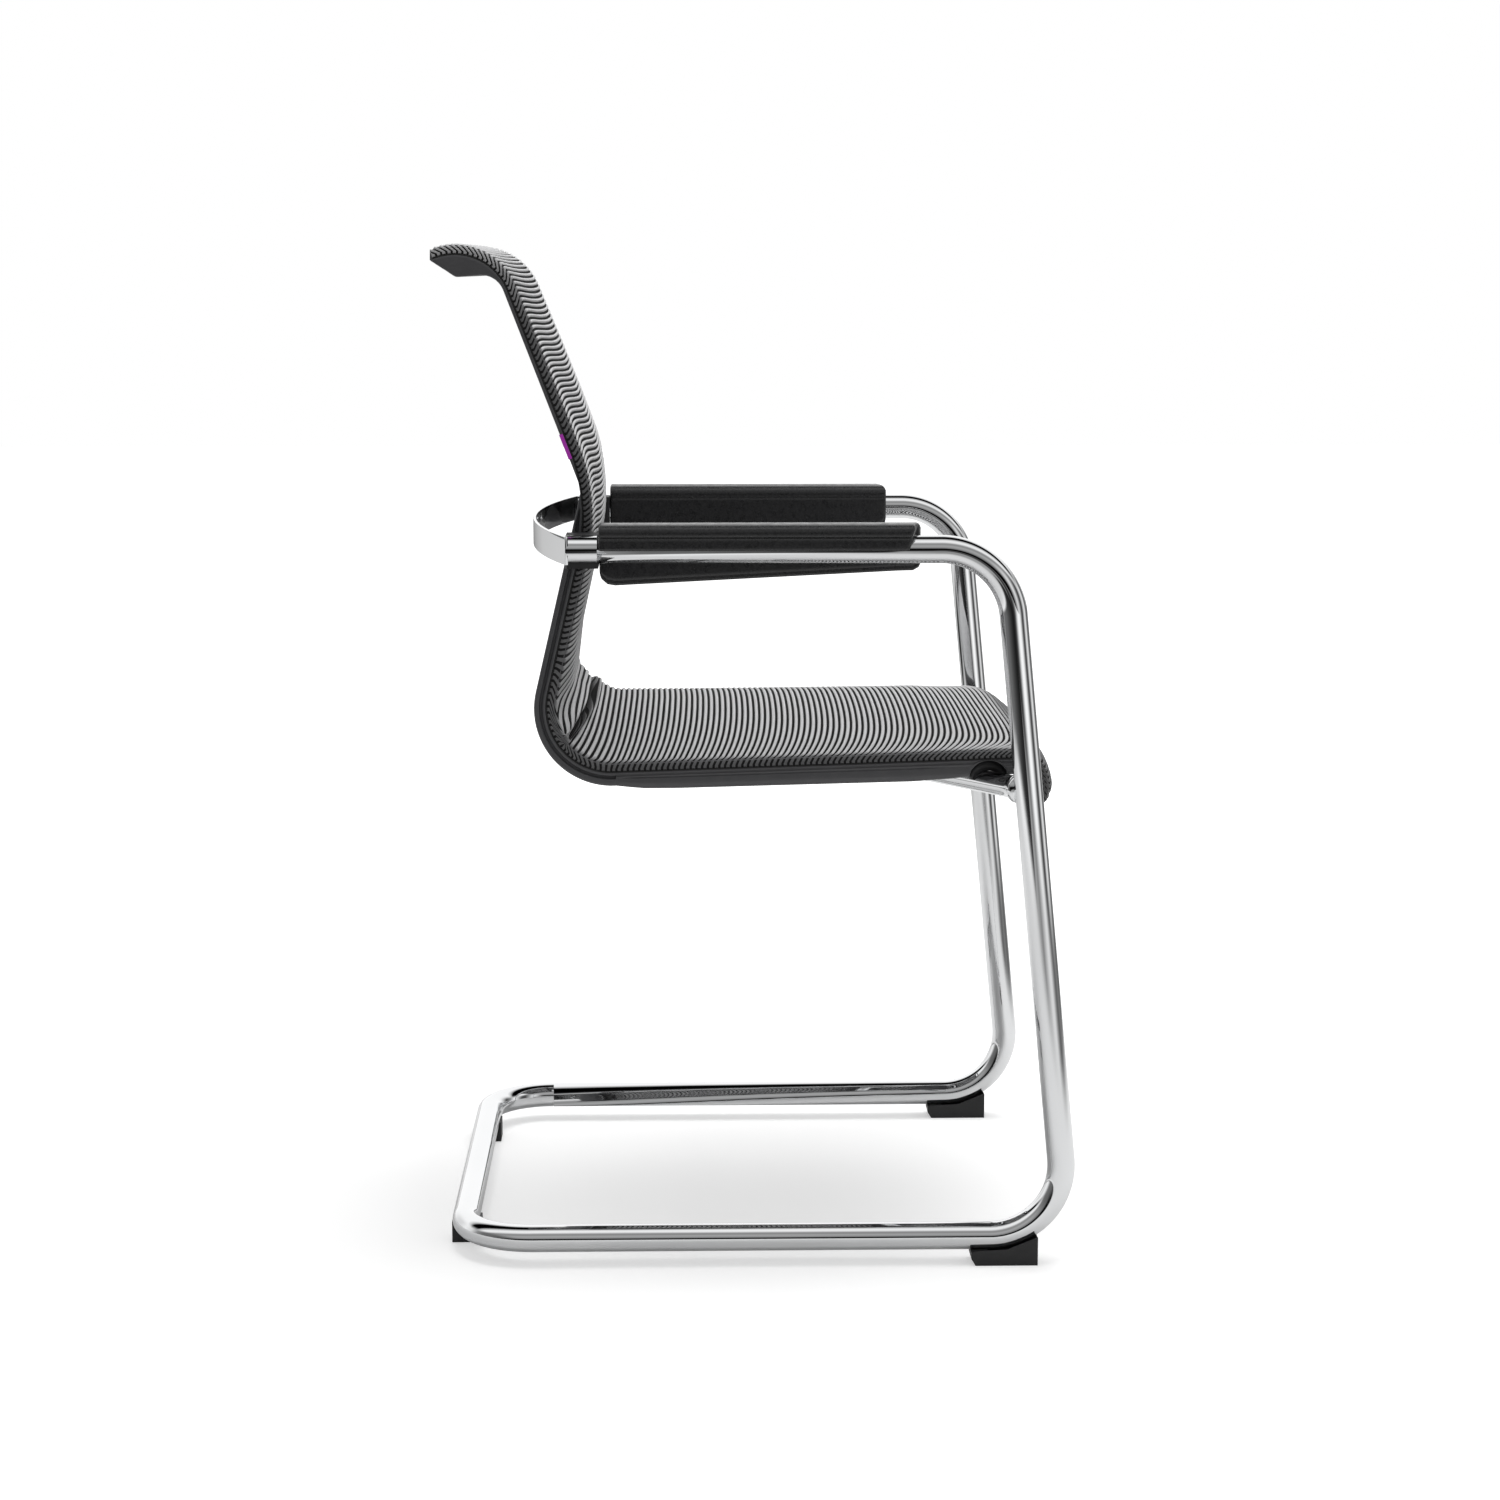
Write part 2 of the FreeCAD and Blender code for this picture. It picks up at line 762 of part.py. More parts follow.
for side, sign in SIDES:
    back = sign < 0
    body = new_body(f"{side}_back_frame")
    profile = body_sketch(body, f"{side}_back_profile", "YZ", shell_inner * sign)
    draw(profile, back_outline())
    pad(body, profile, s.rail_width, back)
    lip = body_sketch(body, f"{side}_back_lip", "YZ", shell_inner * sign)
    draw(lip, band(even(0), even(-s.lip_height), 0, 3, None, at_joint))
    pad(body, lip, lip_outer - shell_inner, back)
    groove = body_sketch(body, f"{side}_back_groove", "YZ", shell_outer * sign)
    draw(groove, band(even(s.groove_start), even(s.groove_start + s.groove_width),
                      2, 3, at_groove_top, at_joint))
    pocket(body, groove, s.groove_depth, back)
    channel = body_sketch(body, f"{side}_back_channel", "YZ", shell_outer * sign)
    draw(channel, band(even(0), even(channel_width), 0, 3, None, at_joint))
    pocket(body, channel, shell_outer - lip_outer, back)
    for number, height in enumerate(bolt_heights):
        hole = body_sketch(body, f"{side}_back_hole_{number}", "YZ", shell_outer * sign)
        draw_circle(hole, (fore(bolt_reach), height), s.bolt_od / 2 + s.hole_gap)
        pocket(body, hole, through, back)
        sink = body_sketch(body, f"{side}_back_sink_{number}", "YZ", shell_inner * sign)
        draw_circle(sink, (fore(bolt_reach), height), s.bolt_od / 2 + s.head_rim + s.hole_gap * 2)
        pocket(body, sink, s.head_height + s.head_sink, not back)
    finished(body, f"{side}_back_frame")

# Moulded seat rails: from the joint forward and round the nose

arch_reach = support_leg - (half_spacing - (shell_inner + shell_outer) / 2) * tangent(
    s.support_angle)


def rail_outline():
    """Underside with its belly and the rise to the nose, closed along the mesh line."""
    run = Outline(seat_point(joint_reach, s.joint_depth))
    run.line(seat_point(joint_reach + s.belly_start, s.rail_depth - s.belly_rise))
    run.line(seat_point(nose_reach - s.belly_end, s.rail_depth))
    run.line(seat_point(nose_reach - s.neck_end, s.rail_depth - s.neck_rise))
    run.round(*corner_beside(CORNERS[3], s.nose_depth, s.nose_depth))
    run.line(beside(tuck_point, TUCK, s.nose_depth))
    return add_reversed(run, sling_run(even(0), 3, 4, at_joint(even(0))))


for side, sign in SIDES:
    back = sign < 0
    body = new_body(f"{side}_seat_rail")
    profile = body_sketch(body, f"{side}_rail_profile", "YZ", shell_inner * sign)
    draw(profile, rail_outline())
    pad(body, profile, s.rail_width, back)
    lip = body_sketch(body, f"{side}_rail_lip", "YZ", shell_inner * sign)
    draw(lip, band(even(0), even(-s.lip_height), 3, 4, at_joint))
    pad(body, lip, lip_outer - shell_inner, back)
    arch = body_sketch(body, f"{side}_rail_arch", "YZ", shell_inner * sign)
    arch_top = seat_point(arch_reach, s.arch_drop)
    draw_circle(arch, arch_top, s.arch_radius)
    pocket(body, arch, through, not back)
    channel = body_sketch(body, f"{side}_rail_channel", "YZ", shell_outer * sign)
    draw(channel, band(even(0), even(channel_width), 3, 4, at_joint))
    pocket(body, channel, shell_outer - lip_outer, back)
    finished(body, f"{side}_seat_rail")

# Cords that hold the mesh edge in the frames' channels

for side, sign in SIDES:
    body = new_body(f"{side}_mesh_cord")
    profile = body_sketch(body, f"{side}_cord_profile", "YZ", (shell_outer - s.cord_depth) * sign)
    draw(profile, band(even(s.cord_gap), even(s.cord_gap + s.cord_width)))
    pad(body, profile, s.cord_depth - s.cord_gap, sign < 0)
    finished(body, f"{side}_mesh_cord")

# Crossbars between the side frames

bar_length = shell_inner * 2


def top_bar_outline():
    """Hooked headband section: the fin below and the mesh seat above."""
    rim = beside(tip_point, TIP, -s.lip_height)
    middle_heading = TIP + s.headband_arc
    reach = s.top_radius + s.lip_height
    centre = beside(tip_point, TIP, s.top_radius)
    crest = beside(centre, middle_heading, -reach)
    root = along(fin, UNDER_TOP, s.headband_run)
    run = Outline(fin_tip)
    run.round(fin, UNDER_FIN, UNDER_TOP, s.fin_radius)
    run.line(root)
    run.line(crest)
    run.bend(rim, middle_heading + 180, TIP + 180, reach)
    return run


def top_bar_hollow():
    """The hollow inside the headband, a wall's thickness in from its faces."""
    wall = s.bar_wall
    under = beside(fin, UNDER_FIN, -wall)
    corner = crossing(under, UNDER_FIN, beside(fin, UNDER_TOP, -wall), UNDER_TOP)
    centre = beside(tip_point, TIP, s.top_radius)
    reach = s.top_radius + s.lip_height - wall
    first, last = TIP + s.hollow_arc, TIP + s.hollow_rim
    run = Outline(along(corner, UNDER_FIN, -s.hollow_fin))
    run.line(corner)
    run.line(along(corner, UNDER_TOP, s.hollow_run))
    run.line(beside(centre, first, -reach))
    run.bend(beside(centre, last, -reach), first + 180, last + 180, reach)
    return run


body = new_body("top_crossbar")
profile = body_sketch(body, "top_bar_profile", "YZ")
draw(profile, top_bar_outline())
pad(body, profile, bar_length, both=True)
profile = body_sketch(body, "top_bar_hollow", "YZ")
draw(profile, top_bar_hollow())
pocket(body, profile, bar_length, both=True)
finished(body, "top_crossbar")


def rear_bar_outline():
    """A curved strip inside the bend between back and seat."""
    centre = keep("bend_centre", beside(
        along(bend_corner, WAIST, derived_length(s.seat_bend_radius, SEAT - WAIST) * -1),
        WAIST, -s.seat_bend_radius))
    inner = s.seat_bend_radius + s.bend_bar_gap
    outer = inner + s.bend_bar_thick
    first, last = WAIST - s.bend_bar_first, WAIST - s.bend_bar_last
    run = Outline(beside(centre, first, inner))
    run.line(beside(centre, first, outer))
    run.bend(beside(centre, last, outer), first, last, outer)
    run.line(beside(centre, last, inner))
    run.bend(beside(centre, first, inner), last + 180, first + 180, inner)
    return run


body = new_body("rear_crossbar")
profile = body_sketch(body, "rear_bar_profile", "YZ")
outline = rear_bar_outline()
outline.points.pop()
outline.pieces[-1] = ("arc", 3, 0, *outline.pieces[-1][3:])
draw(profile, outline, closed=False)
pad(body, profile, bar_length, both=True)
finished(body, "rear_crossbar")

body = new_body("front_crossbar")
profile = body_sketch(body, "front_bar_profile", "YZ")
draw(profile, band(even(s.bar_thick - s.lip_height), even(-s.lip_height), 3, 4,
                   lambda depths: seat_point(nose_reach - s.front_bar_run, depths[3])))
pad(body, profile, bar_length, both=True)
finished(body, "front_crossbar")

# Channel-shaped bar that sits on the bowed tube, with a strap round the tube on each side

bar_bottom = derived("bar_bottom", s.support_axis + support_r + s.seating_gap)
bar_fore = fore(support_back + s.crossbar_width / 2)
body = new_body("seat_crossbar")
profile = body_sketch(body, "seat_bar_profile", "YZ")
near, far = bar_fore, bar_fore + s.crossbar_width
top = bar_bottom + s.crossbar_height
floor = bar_bottom + s.bar_wall
section = Outline((near, bar_bottom))
for point in ((far, bar_bottom), (far, top), (far - s.bar_wall, top), (far - s.bar_wall, floor),
              (near + s.bar_wall, floor), (near + s.bar_wall, top), (near, top)):
    section.line(point)
draw(profile, section)
pad(body, profile, bar_length, both=True)
finished(body, "seat_crossbar")
strap_x = derived("strap_x", s.support_run / 2 - s.strap_inset)


def strap_outline():
    """Sheet-metal saddle: a half round under the tube with a flange on each side."""
    r = support_r + s.seating_gap
    big = r + s.strap_thick
    y = fore(support_back)
    z = s.support_axis
    flange = bar_bottom - s.strap_thick
    wing = s.crossbar_width / 2
    run = Outline((y - wing, bar_bottom))
    run.line((y - wing, flange))
    run.line((y - big, flange))
    run.line((y - big, z))
    run.bend((y, z - big), dim(-90), dim(0), big)
    run.bend((y + big, z), dim(0), dim(90), big)
    run.line((y + big, flange))
    run.line((y + wing, flange))
    run.line((y + wing, bar_bottom))
    run.line((y + r, bar_bottom))
    run.line((y + r, z))
    run.bend((y, z - r), dim(-90), dim(-180), r)
    run.bend((y - r, z), dim(-180), dim(-270), r)
    run.line((y - r, bar_bottom))
    return run


for side, sign in SIDES:
    body = new_body(f"{side}_tube_strap")
    profile = body_sketch(body, f"{side}_strap_profile", "YZ", strap_x * sign)
    draw(profile, strap_outline())
    pad(body, profile, s.strap_width, both=True)
    finished(body, f"{side}_tube_strap")

# Mesh cover: a crowned skin over the lips, with an edge turned down each side

inner_depth = -(s.lip_height + s.mesh_gap)
outer_depth = inner_depth - s.mesh_thick
crowns = [s.crown_top, s.crown_back, s.crown_lower, s.crown_seat, s.crown_nose]
sections = []
for number, place in enumerate((-1, -0.5, 0, 0.5, 1)):
    share = 1 - place * place
    section = free_sketch(f"mesh_section_{number}", "YZ", shell_outer * place, "x")
    draw(section, band([inner_depth - crown * share for crown in crowns],
                       [outer_depth - crown * share for crown in crowns]))
    sections.append(section)
skin = doc.addObject("Part::Loft", "mesh_skin")
skin.Sections = sections
skin.Ruled = True
skin.Solid = True
edges = []
for side, sign in SIDES:
    edge = free_sketch(f"{side}_mesh_edge", "YZ", (shell_outer - s.mesh_thick) * sign, "x")
    draw(edge, band(even(-s.mesh_gap), even(inner_depth - s.mesh_thick / 2)))
    edges.append(extrusion(f"{side}_mesh_turn", edge, s.mesh_thick, (sign, 0, 0)))
finished(fuse("mesh", skin, *edges), "mesh_cover")

# Flat band behind the back, an arc in plan that closes both arm ends

band_bottom = s.arm_axis - tube_r
band_half = half_spacing + tube_r
band_radius = derived(
    "band_radius", (band_half * band_half + s.band_bow * s.band_bow) / (s.band_bow * 2))
BAND_TURN = Dim(math.degrees(math.asin(band_half.value / band_radius.value)),
                f"asin({band_half.text} / {band_radius.text})")
band_turn = derived("band_turn", BAND_TURN)


def band_outline(extra):
    """Arc strip whose rear face bows back; extra widens it rearwards for cutting."""
    left_heading, right_heading = band_turn, -band_turn
    rear_r = band_radius + extra
    front_r = band_radius - s.band_thick
    centre = (dim(0), fore(band_end_reach - s.band_bow) - band_radius)
    run = Outline(beside(centre, left_heading, rear_r))
    run.bend(beside(centre, right_heading, rear_r), left_heading, right_heading, rear_r)
    run.line(beside(centre, right_heading, front_r))
    run.bend(beside(centre, left_heading, front_r),
             right_heading + 180, left_heading + 180, front_r)
    return run


def is_band_corner(edge):
    """The short upright edges' ends: the band's corners seen from behind."""
    limit = s.band_thick.value + s.seating_gap.value
    return abs(edge.Vertexes[0].X) > half_spacing.value and edge.Length < limit


body = new_body("back_band")
profile = body_sketch(body, "band_profile", "XY", band_bottom)
draw(profile, band_outline(dim(0)))
pad(body, profile, s.tube_od)
round_edges(body, s.band_round, is_band_corner)
finished(body, "back_band")

band_zone_sketch = free_sketch("band_zone_outline", "XY", band_bottom - tube_r, "z")
draw(band_zone_sketch, band_outline(s.band_bow))
band_zone = extrusion("band_zone", band_zone_sketch, s.tube_od * 2, (0, 0, 1))

# Arm fittings: a turned end for each arm tube, with a spigot inside it

bolts = []
for side, sign in SIDES:
    x = half_spacing * sign
    end = arm_end_reach
    nose = cylinder(f"{side}_fitting_nose", tube_r, s.fitting_length + tube_r,
                    (x, fore(end - s.seating_gap / 2), s.arm_axis), "y")
    spigot = cylinder(f"{side}_spigot", tube_r - s.tube_wall - s.seating_gap,
                      s.spigot_length + s.tube_wall, (x, fore(end + s.spigot_length), s.arm_axis), "y")
    solid = fuse(f"{side}_fitting_solid", nose, spigot)
    threads = []
    for number, height in enumerate(bolt_heights):
        place = (shell_outer * sign, fore(bolt_reach), height)
        way = "x" if sign > 0 else "-x"
        reach = half_spacing - shell_outer
        threads.append(cylinder(f"{side}_thread_{number}", (s.bolt_od + s.seating_gap) / 2,
                                reach + s.hole_gap, place, way))
        seat = shell_inner + s.head_height + s.head_sink
        start = (seat * sign, fore(bolt_reach), height)
        shank = cylinder(f"{side}_bolt_shank_{number}", s.bolt_od / 2, half_spacing - seat,
                         start, way)
        head = cylinder(f"{side}_bolt_head_{number}", s.bolt_od / 2 + s.head_rim, s.head_height,
                        start, "-x" if sign > 0 else "x")
        bolts.append(fuse(f"{side}_bolt_{number}", shank, head))
    finished(cut(f"{side}_fitting", solid, band_zone, *threads), f"{side}_arm_fitting")
bolt_set = doc.addObject("Part::Compound", "bolt_set")
bolt_set.Links = bolts
finished(bolt_set, "joint_bolts")

# Moulded blocks that carry the fittings on the back frames

block_front = pad_rear_reach - s.seating_gap * 2
block_length = block_front - band_end_reach


def block_outline(sign):
    """Fills the space between frame and fitting and runs on under the fitting."""
    bottom = s.arm_axis - tube_r - s.block_lip
    top = s.arm_axis + tube_r
    near = shell_outer + s.seating_gap / 2
    run = Outline((near * sign, bottom))
    run.line(((half_spacing + tube_r / 2) * sign, bottom))
    run.line(((half_spacing + tube_r / 2) * sign, s.arm_axis - tube_r / 2))
    run.line((half_spacing * sign, s.arm_axis))
    run.line(((half_spacing - tube_r / 2) * sign, top))
    run.line((near * sign, top))
    return run


for side, sign in SIDES:
    body = new_body(f"{side}_block_body")
    profile = body_sketch(body, f"{side}_block_profile", "XZ", -fore(block_front))
    draw(profile, block_outline(sign))
    pad(body, profile, block_length, back=True)
    way = "x" if sign > 0 else "-x"
    holes = [cylinder(f"{side}_block_hole_{n}", s.bolt_od / 2 + s.hole_gap, half_spacing - shell_outer,
                      (shell_outer * sign, fore(bolt_reach), height), way)
             for n, height in enumerate(bolt_heights)]
    bed = cylinder(f"{side}_block_bed", tube_r + s.seating_gap, block_length * 2,
                   (half_spacing * sign, fore(block_front + block_length / 2), s.arm_axis), "y")
    finished(cut(f"{side}_block", body, bed, band_zone, *holes), f"{side}_joint_block")

# Arm pads: a padded top with a cheek outside and a tall tapering panel inside

panel_inner = derived("panel_inner", half_spacing - tube_r - s.seating_gap - s.panel_thick)
pad_outer = derived("pad_outer", half_spacing + tube_r + s.pad_cheek)
pad_top = derived("pad_top", s.arm_axis + s.pad_rise)


def pad_top_outline():
    bottom, top = s.arm_axis, pad_top
    rear, front = fore(pad_rear_reach), fore(pad_front_reach)
    run = Outline((rear, bottom))
    run.line((rear, top))
    run.line((front - s.pad_overhang, top))
    run.line((front, bottom))
    return run


def panel_outline():
    rear, front = fore(pad_rear_reach), fore(pad_front_reach)
    rear_bottom, front_bottom = s.arm_axis - s.panel_rear_drop, s.arm_axis - s.panel_front_drop
    corner, bevel = s.panel_corner, s.panel_bevel
    run = Outline((rear, pad_top))
    run.line((rear, rear_bottom + corner))
    run.line((rear - corner / 4, rear_bottom + corner / 3))
    run.line((rear - corner, rear_bottom))
    run.line((front + bevel, front_bottom))
    run.line((front - bevel, front_bottom + bevel * 2))
    run.line((front - s.pad_overhang, pad_top))
    return run


def is_pad_edge(edge):
    """The two long edges on top."""
    size = edge.BoundBox
    return size.ZMin > pad_top.value - s.seating_gap.value and size.YLength > size.XLength


for side, sign in SIDES:
    back = sign < 0
    body = new_body(f"{side}_pad_body")
    profile = body_sketch(body, f"{side}_pad_top", "YZ", panel_inner * sign)
    draw(profile, pad_top_outline())
    pad(body, profile, pad_outer - panel_inner, back)
    profile = body_sketch(body, f"{side}_pad_panel", "YZ", panel_inner * sign)
    draw(profile, panel_outline())
    pad(body, profile, s.panel_thick, back)
    round_edges(body, s.pad_round, is_pad_edge)
    finished(cut(f"{side}_pad", body, seat_runs[side]), f"{side}_arm_pad")

# Glides: wedges under the front bends and saddles under the rear bar


def glide_bed():
    """The room that the bend of the tube takes in the glide."""
    gap = s.seating_gap
    turn = s.bend_radius + tube_r + gap
    start = fore(s.foot_reach - foot_tangent)
    centre = rail_axis + s.bend_radius
    end = start - turn * sine(s.glide_arc)
    run = Outline((start + s.tube_wall, centre))
    run.line((start + s.tube_wall, s.ground_gap - gap))
    run.line((start, s.ground_gap - gap))
    run.bend((end, centre - turn * cosine(s.glide_arc)), dim(180), 180 - s.glide_arc, turn)
    run.line((end, centre))
    return run


for side, sign in SIDES:
    body = new_body(f"{side}_front_glide_body")
    middle_x = half_spacing * sign
    profile = body_sketch(body, f"{side}_front_glide_profile", "YZ", middle_x)
    rear, front = fore(s.foot_reach - s.glide_rear_behind), fore(s.foot_reach - s.glide_front_behind)
    grip = s.ground_gap + s.glide_grip
    wedge = Outline((rear - s.glide_toe, dim(0)))
    wedge.line((rear, s.ground_gap / 2))
    wedge.line((rear, s.ground_gap))
    wedge.line((rear - s.glide_toe, grip))
    wedge.line((front + s.glide_ramp, grip + s.glide_grip))
    wedge.line((front, s.ground_gap + s.glide_nose))
    wedge.line((front, dim(0)))
    draw(profile, wedge)
    pad(body, profile, s.glide_width, both=True)
    bed = body_sketch(body, f"{side}_front_glide_bed", "YZ", middle_x)
    draw(bed, glide_bed())
    pocket(body, bed, (tube_r + s.seating_gap) * 2, both=True)
    saddle = cylinder(f"{side}_front_saddle_tool", tube_r + s.seating_gap, s.glide_rear_behind,
                      (middle_x, fore(s.foot_reach - foot_tangent) - s.seating_gap, rail_axis), "y")
    finished(cut(f"{side}_front_saddle", body, saddle), f"{side}_front_glide")

    rear_x = s.rear_glide_offset * sign
    wall = s.rear_glide_wall
    base = box(f"{side}_rear_glide_block",
               (s.glide_width, s.tube_od + wall * 2, s.ground_gap + s.rear_glide_rise),
               (rear_x - s.glide_width / 2, fore(tube_r + wall), 0))
    finished(cut(f"{side}_rear_saddle", base, seat_runs["rear"]), f"{side}_rear_glide")

# Bare tag folded round the rear edge of the right back frame

body = new_body("frame_tag")
tag_middle = keep("tag_middle", along(lumbar_corner, DOWN, -s.tag_rise / cosine(s.back_lean)))


def tag_outline(depth_a, depth_b):
    run = Outline(beside(along(tag_middle, DOWN, -s.tag_length / 2), DOWN, depth_a))
    run.line(beside(along(tag_middle, DOWN, s.tag_length / 2), DOWN, depth_a))
    run.line(beside(along(tag_middle, DOWN, s.tag_length / 2), DOWN, depth_b))
    run.line(beside(along(tag_middle, DOWN, -s.tag_length / 2), DOWN, depth_b))
    return run


tag_near = s.strip_depth + s.seating_gap / 2
tag_far = tag_near + s.tag_thick
tag_side = shell_outer + s.seating_gap / 2
profile = body_sketch(body, "tag_face", "YZ", -tag_side)
draw(profile, tag_outline(s.tag_inset, tag_far))
pad(body, profile, s.tag_thick, back=True)
profile = body_sketch(body, "tag_fold", "YZ", -(tag_side + s.tag_thick))
draw(profile, tag_outline(tag_near, tag_far))
pad(body, profile, s.tag_fold)
finished(body, "frame_tag")

# Build, test and write every piece

doc.recompute()
faults = []
for item in doc.Objects:
    if "Invalid" in item.State or "Error" in item.State:
        faults.append(f"{item.Label}: {item.State}")
for name, feature in parts:
    shape = feature.Shape
    if shape.isNull() or not shape.isValid() or not shape.Solids:
        faults.append(f"{name}: no valid solid")
if faults:
    raise RuntimeError("; ".join(faults))
for name, feature in parts:
    shape = feature.Shape
    shape.exportStep(f"parts/{name}.step")
    count = len(shape.Solids)
    print(f"{name}: {count} solid{'s' if count > 1 else ''}, {shape.Volume / 1000:.1f} cm3")
print(f"{len(parts)} pieces")
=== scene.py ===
# %% [markdown]
# # Cantilever armchair
# The chair has a bent chrome tube frame, a ribbed mesh sling on moulded side frames, and padded
# arms that a flat band joins behind the back. The solids come packed from the construction
# model. This file dresses them: it keeps the pieces whose shape is right, gives them a finish,
# and works out finer surfaces for the tubes, the side frames, the mesh and the arm pads.
# All sizes are in millimetres until a mesh is made. The sitter faces -Y.

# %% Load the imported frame
import bpy
import numpy as np
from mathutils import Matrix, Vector


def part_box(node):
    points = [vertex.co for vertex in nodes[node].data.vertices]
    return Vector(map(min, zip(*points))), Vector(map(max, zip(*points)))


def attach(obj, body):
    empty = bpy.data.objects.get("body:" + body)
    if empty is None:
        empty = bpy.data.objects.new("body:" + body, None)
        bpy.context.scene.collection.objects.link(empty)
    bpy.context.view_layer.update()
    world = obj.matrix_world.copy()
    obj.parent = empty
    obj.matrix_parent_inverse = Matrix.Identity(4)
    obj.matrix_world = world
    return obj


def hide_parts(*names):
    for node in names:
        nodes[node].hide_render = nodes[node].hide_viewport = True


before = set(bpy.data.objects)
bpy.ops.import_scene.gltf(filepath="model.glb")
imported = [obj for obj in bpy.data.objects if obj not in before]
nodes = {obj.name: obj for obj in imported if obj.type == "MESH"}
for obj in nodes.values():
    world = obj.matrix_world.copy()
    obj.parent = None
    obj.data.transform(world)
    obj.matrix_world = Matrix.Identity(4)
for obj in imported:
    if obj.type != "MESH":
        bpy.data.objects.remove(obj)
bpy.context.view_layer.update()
MM = 0.001

# %% [markdown]
# ## Where things are
# "Reach" is how far a point lies in front of the rear floor bar, as a maker would measure it on
# the floor. The bar's own box gives its axis, so every reach turns into a Y.

# %% Shared sizes
TUBE_R = 13.5
HALF_SPACING = 272.5
RAIL_AXIS = 26.5
ARM_AXIS = 702.0
BEND_R = 70.0
FOOT_REACH = 594.5
LEG_LEAN = 5.65
LUMBAR_REACH, LUMBAR_Z, LOWER_LEAN = 131.4, 743.8, 13.1
SHELL_OUTER, SHELL_INNER = 235.0, 209.0
SIDES = (("left", 1), ("right", -1))
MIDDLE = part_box("cantilever_frame")[1].y / MM - TUBE_R


def slope(degrees):
    """Rise over run at an angle."""
    return np.tan(np.radians(degrees))


def fore(reach):
    """Y of a reach."""
    return MIDDLE - np.asarray(reach, float)


def leg_reach(height):
    """Reach of the leg's axis at a height."""
    return FOOT_REACH - (height - RAIL_AXIS) * slope(LEG_LEAN)


WAIST_REACH = LUMBAR_REACH - (LUMBAR_Z - ARM_AXIS) * slope(LOWER_LEAN)
ARM_END = WAIST_REACH + 15.9
print(f"rear bar axis at Y {MIDDLE:.2f} mm, leg at arm height {leg_reach(ARM_AXIS):.1f} mm in front")

# %% [markdown]
# ## Lines in a plane
# Bent tube and moulded frames are straight runs joined by round bends. One helper walks such a
# line and samples it densely by length, so a piece can ask for the place and the heading at any
# distance along it.

# %% Walk a line with round bends
STEP = 0.25


def compass(heading):
    """Unit vector of a heading in degrees."""
    angle = np.radians(heading)
    return np.stack([np.cos(angle), np.sin(angle)], -1)


def crossing(p, a, q, b):
    """Where the line through p at heading a meets the line through q at heading b."""
    gap = np.subtract(q, p)
    da, db = compass(a), compass(b)
    share = (gap[0] * db[1] - gap[1] * db[0]) / (da[0] * db[1] - da[1] * db[0])
    return p + share * da


def run_to(here, there):
    """Points of a straight run, a step apart, from after one point up to another."""
    count = max(int(np.linalg.norm(there - here) / STEP), 2)
    return here + np.linspace(0, 1, count + 1)[1:, None] * (there - here)


def walk(start, corners, end):
    """Sample a line from start to end that rounds each (corner, heading in, heading out, radius).

    A straight run keeps its heading; on a bend the heading turns evenly with the length, and the
    point stands one radius beside the bend's centre. Returns length, points and headings.
    """
    here, heading = np.array(start, float), None
    points, headings = [here[None]], []
    for corner, a, b, radius in corners:
        turn = b - a
        reach = radius * slope(abs(turn) / 2)
        first = np.array(corner, float) - reach * compass(a)
        run = run_to(here, first)
        bend = radius * np.sign(turn)
        centre = first + bend * compass(a + 90)
        count = max(int(radius * np.radians(abs(turn)) / STEP), 8)
        angles = a + turn * np.linspace(0, 1, count + 1)[1:]
        arc = centre - bend * compass(angles + 90)
        points += [run, arc]
        headings += [np.full(len(run) + (heading is None), a), angles]
        here, heading = arc[-1], b
    run = run_to(here, np.array(end))
    points.append(run)
    headings.append(np.full(len(run), heading))
    points, headings = np.concatenate(points), np.concatenate(headings)
    length = np.concatenate([[0], np.cumsum(np.linalg.norm(np.diff(points, axis=0), axis=1))])
    return length, points, headings


def at(line, place):
    """Points and headings at given lengths along a walked line."""
    length, points, headings = line
    spot = np.stack([np.interp(place, length, points[:, k]) for k in (0, 1)], -1)
    return spot, np.interp(place, length, headings)


def beside(line, place, depth):
    """Points beside the line: moved square to it, to the left of its heading, by a depth."""
    spot, heading = at(line, place)
    return spot + np.asarray(depth)[..., None] * compass(heading + 90)


print(f"lines are sampled every {STEP} mm")

# %% [markdown]
# ## Surfaces from grids
# Every new piece is a grid of points worked out with arrays: rows run along the piece and
# columns run round or across it. The helper joins neighbours into four-sided faces, closes the
# ring where the section is closed, and puts a flat face on each end of a bar. A closed piece
# whose volume comes out negative is turned right side out.

# %% Make a mesh from a grid


def put(name, data):
    """An object in the scene that shows a mesh, a lamp or a camera."""
    made = bpy.data.objects.new(name, data)
    bpy.context.scene.collection.objects.link(made)
    return made


def add_piece(name, vertices, faces, material, uv=None):
    """Put vertices in millimetres and a list of faces into a mesh that rides on the chair."""
    mesh = bpy.data.meshes.new(name)
    mesh.from_pydata((vertices * MM).tolist(), [], faces)
    mesh.polygons.foreach_set("use_smooth", np.ones(len(mesh.polygons), bool))
    if uv is not None:
        corner = np.empty(len(mesh.loops), int)
        mesh.loops.foreach_get("vertex_index", corner)
        mesh.uv_layers.new(name="UVMap").data.foreach_set("uv", uv[corner].astype(np.float32).ravel())
    mesh.materials.append(material)
    piece = put(name, mesh)
    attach(piece, "root")
    return piece


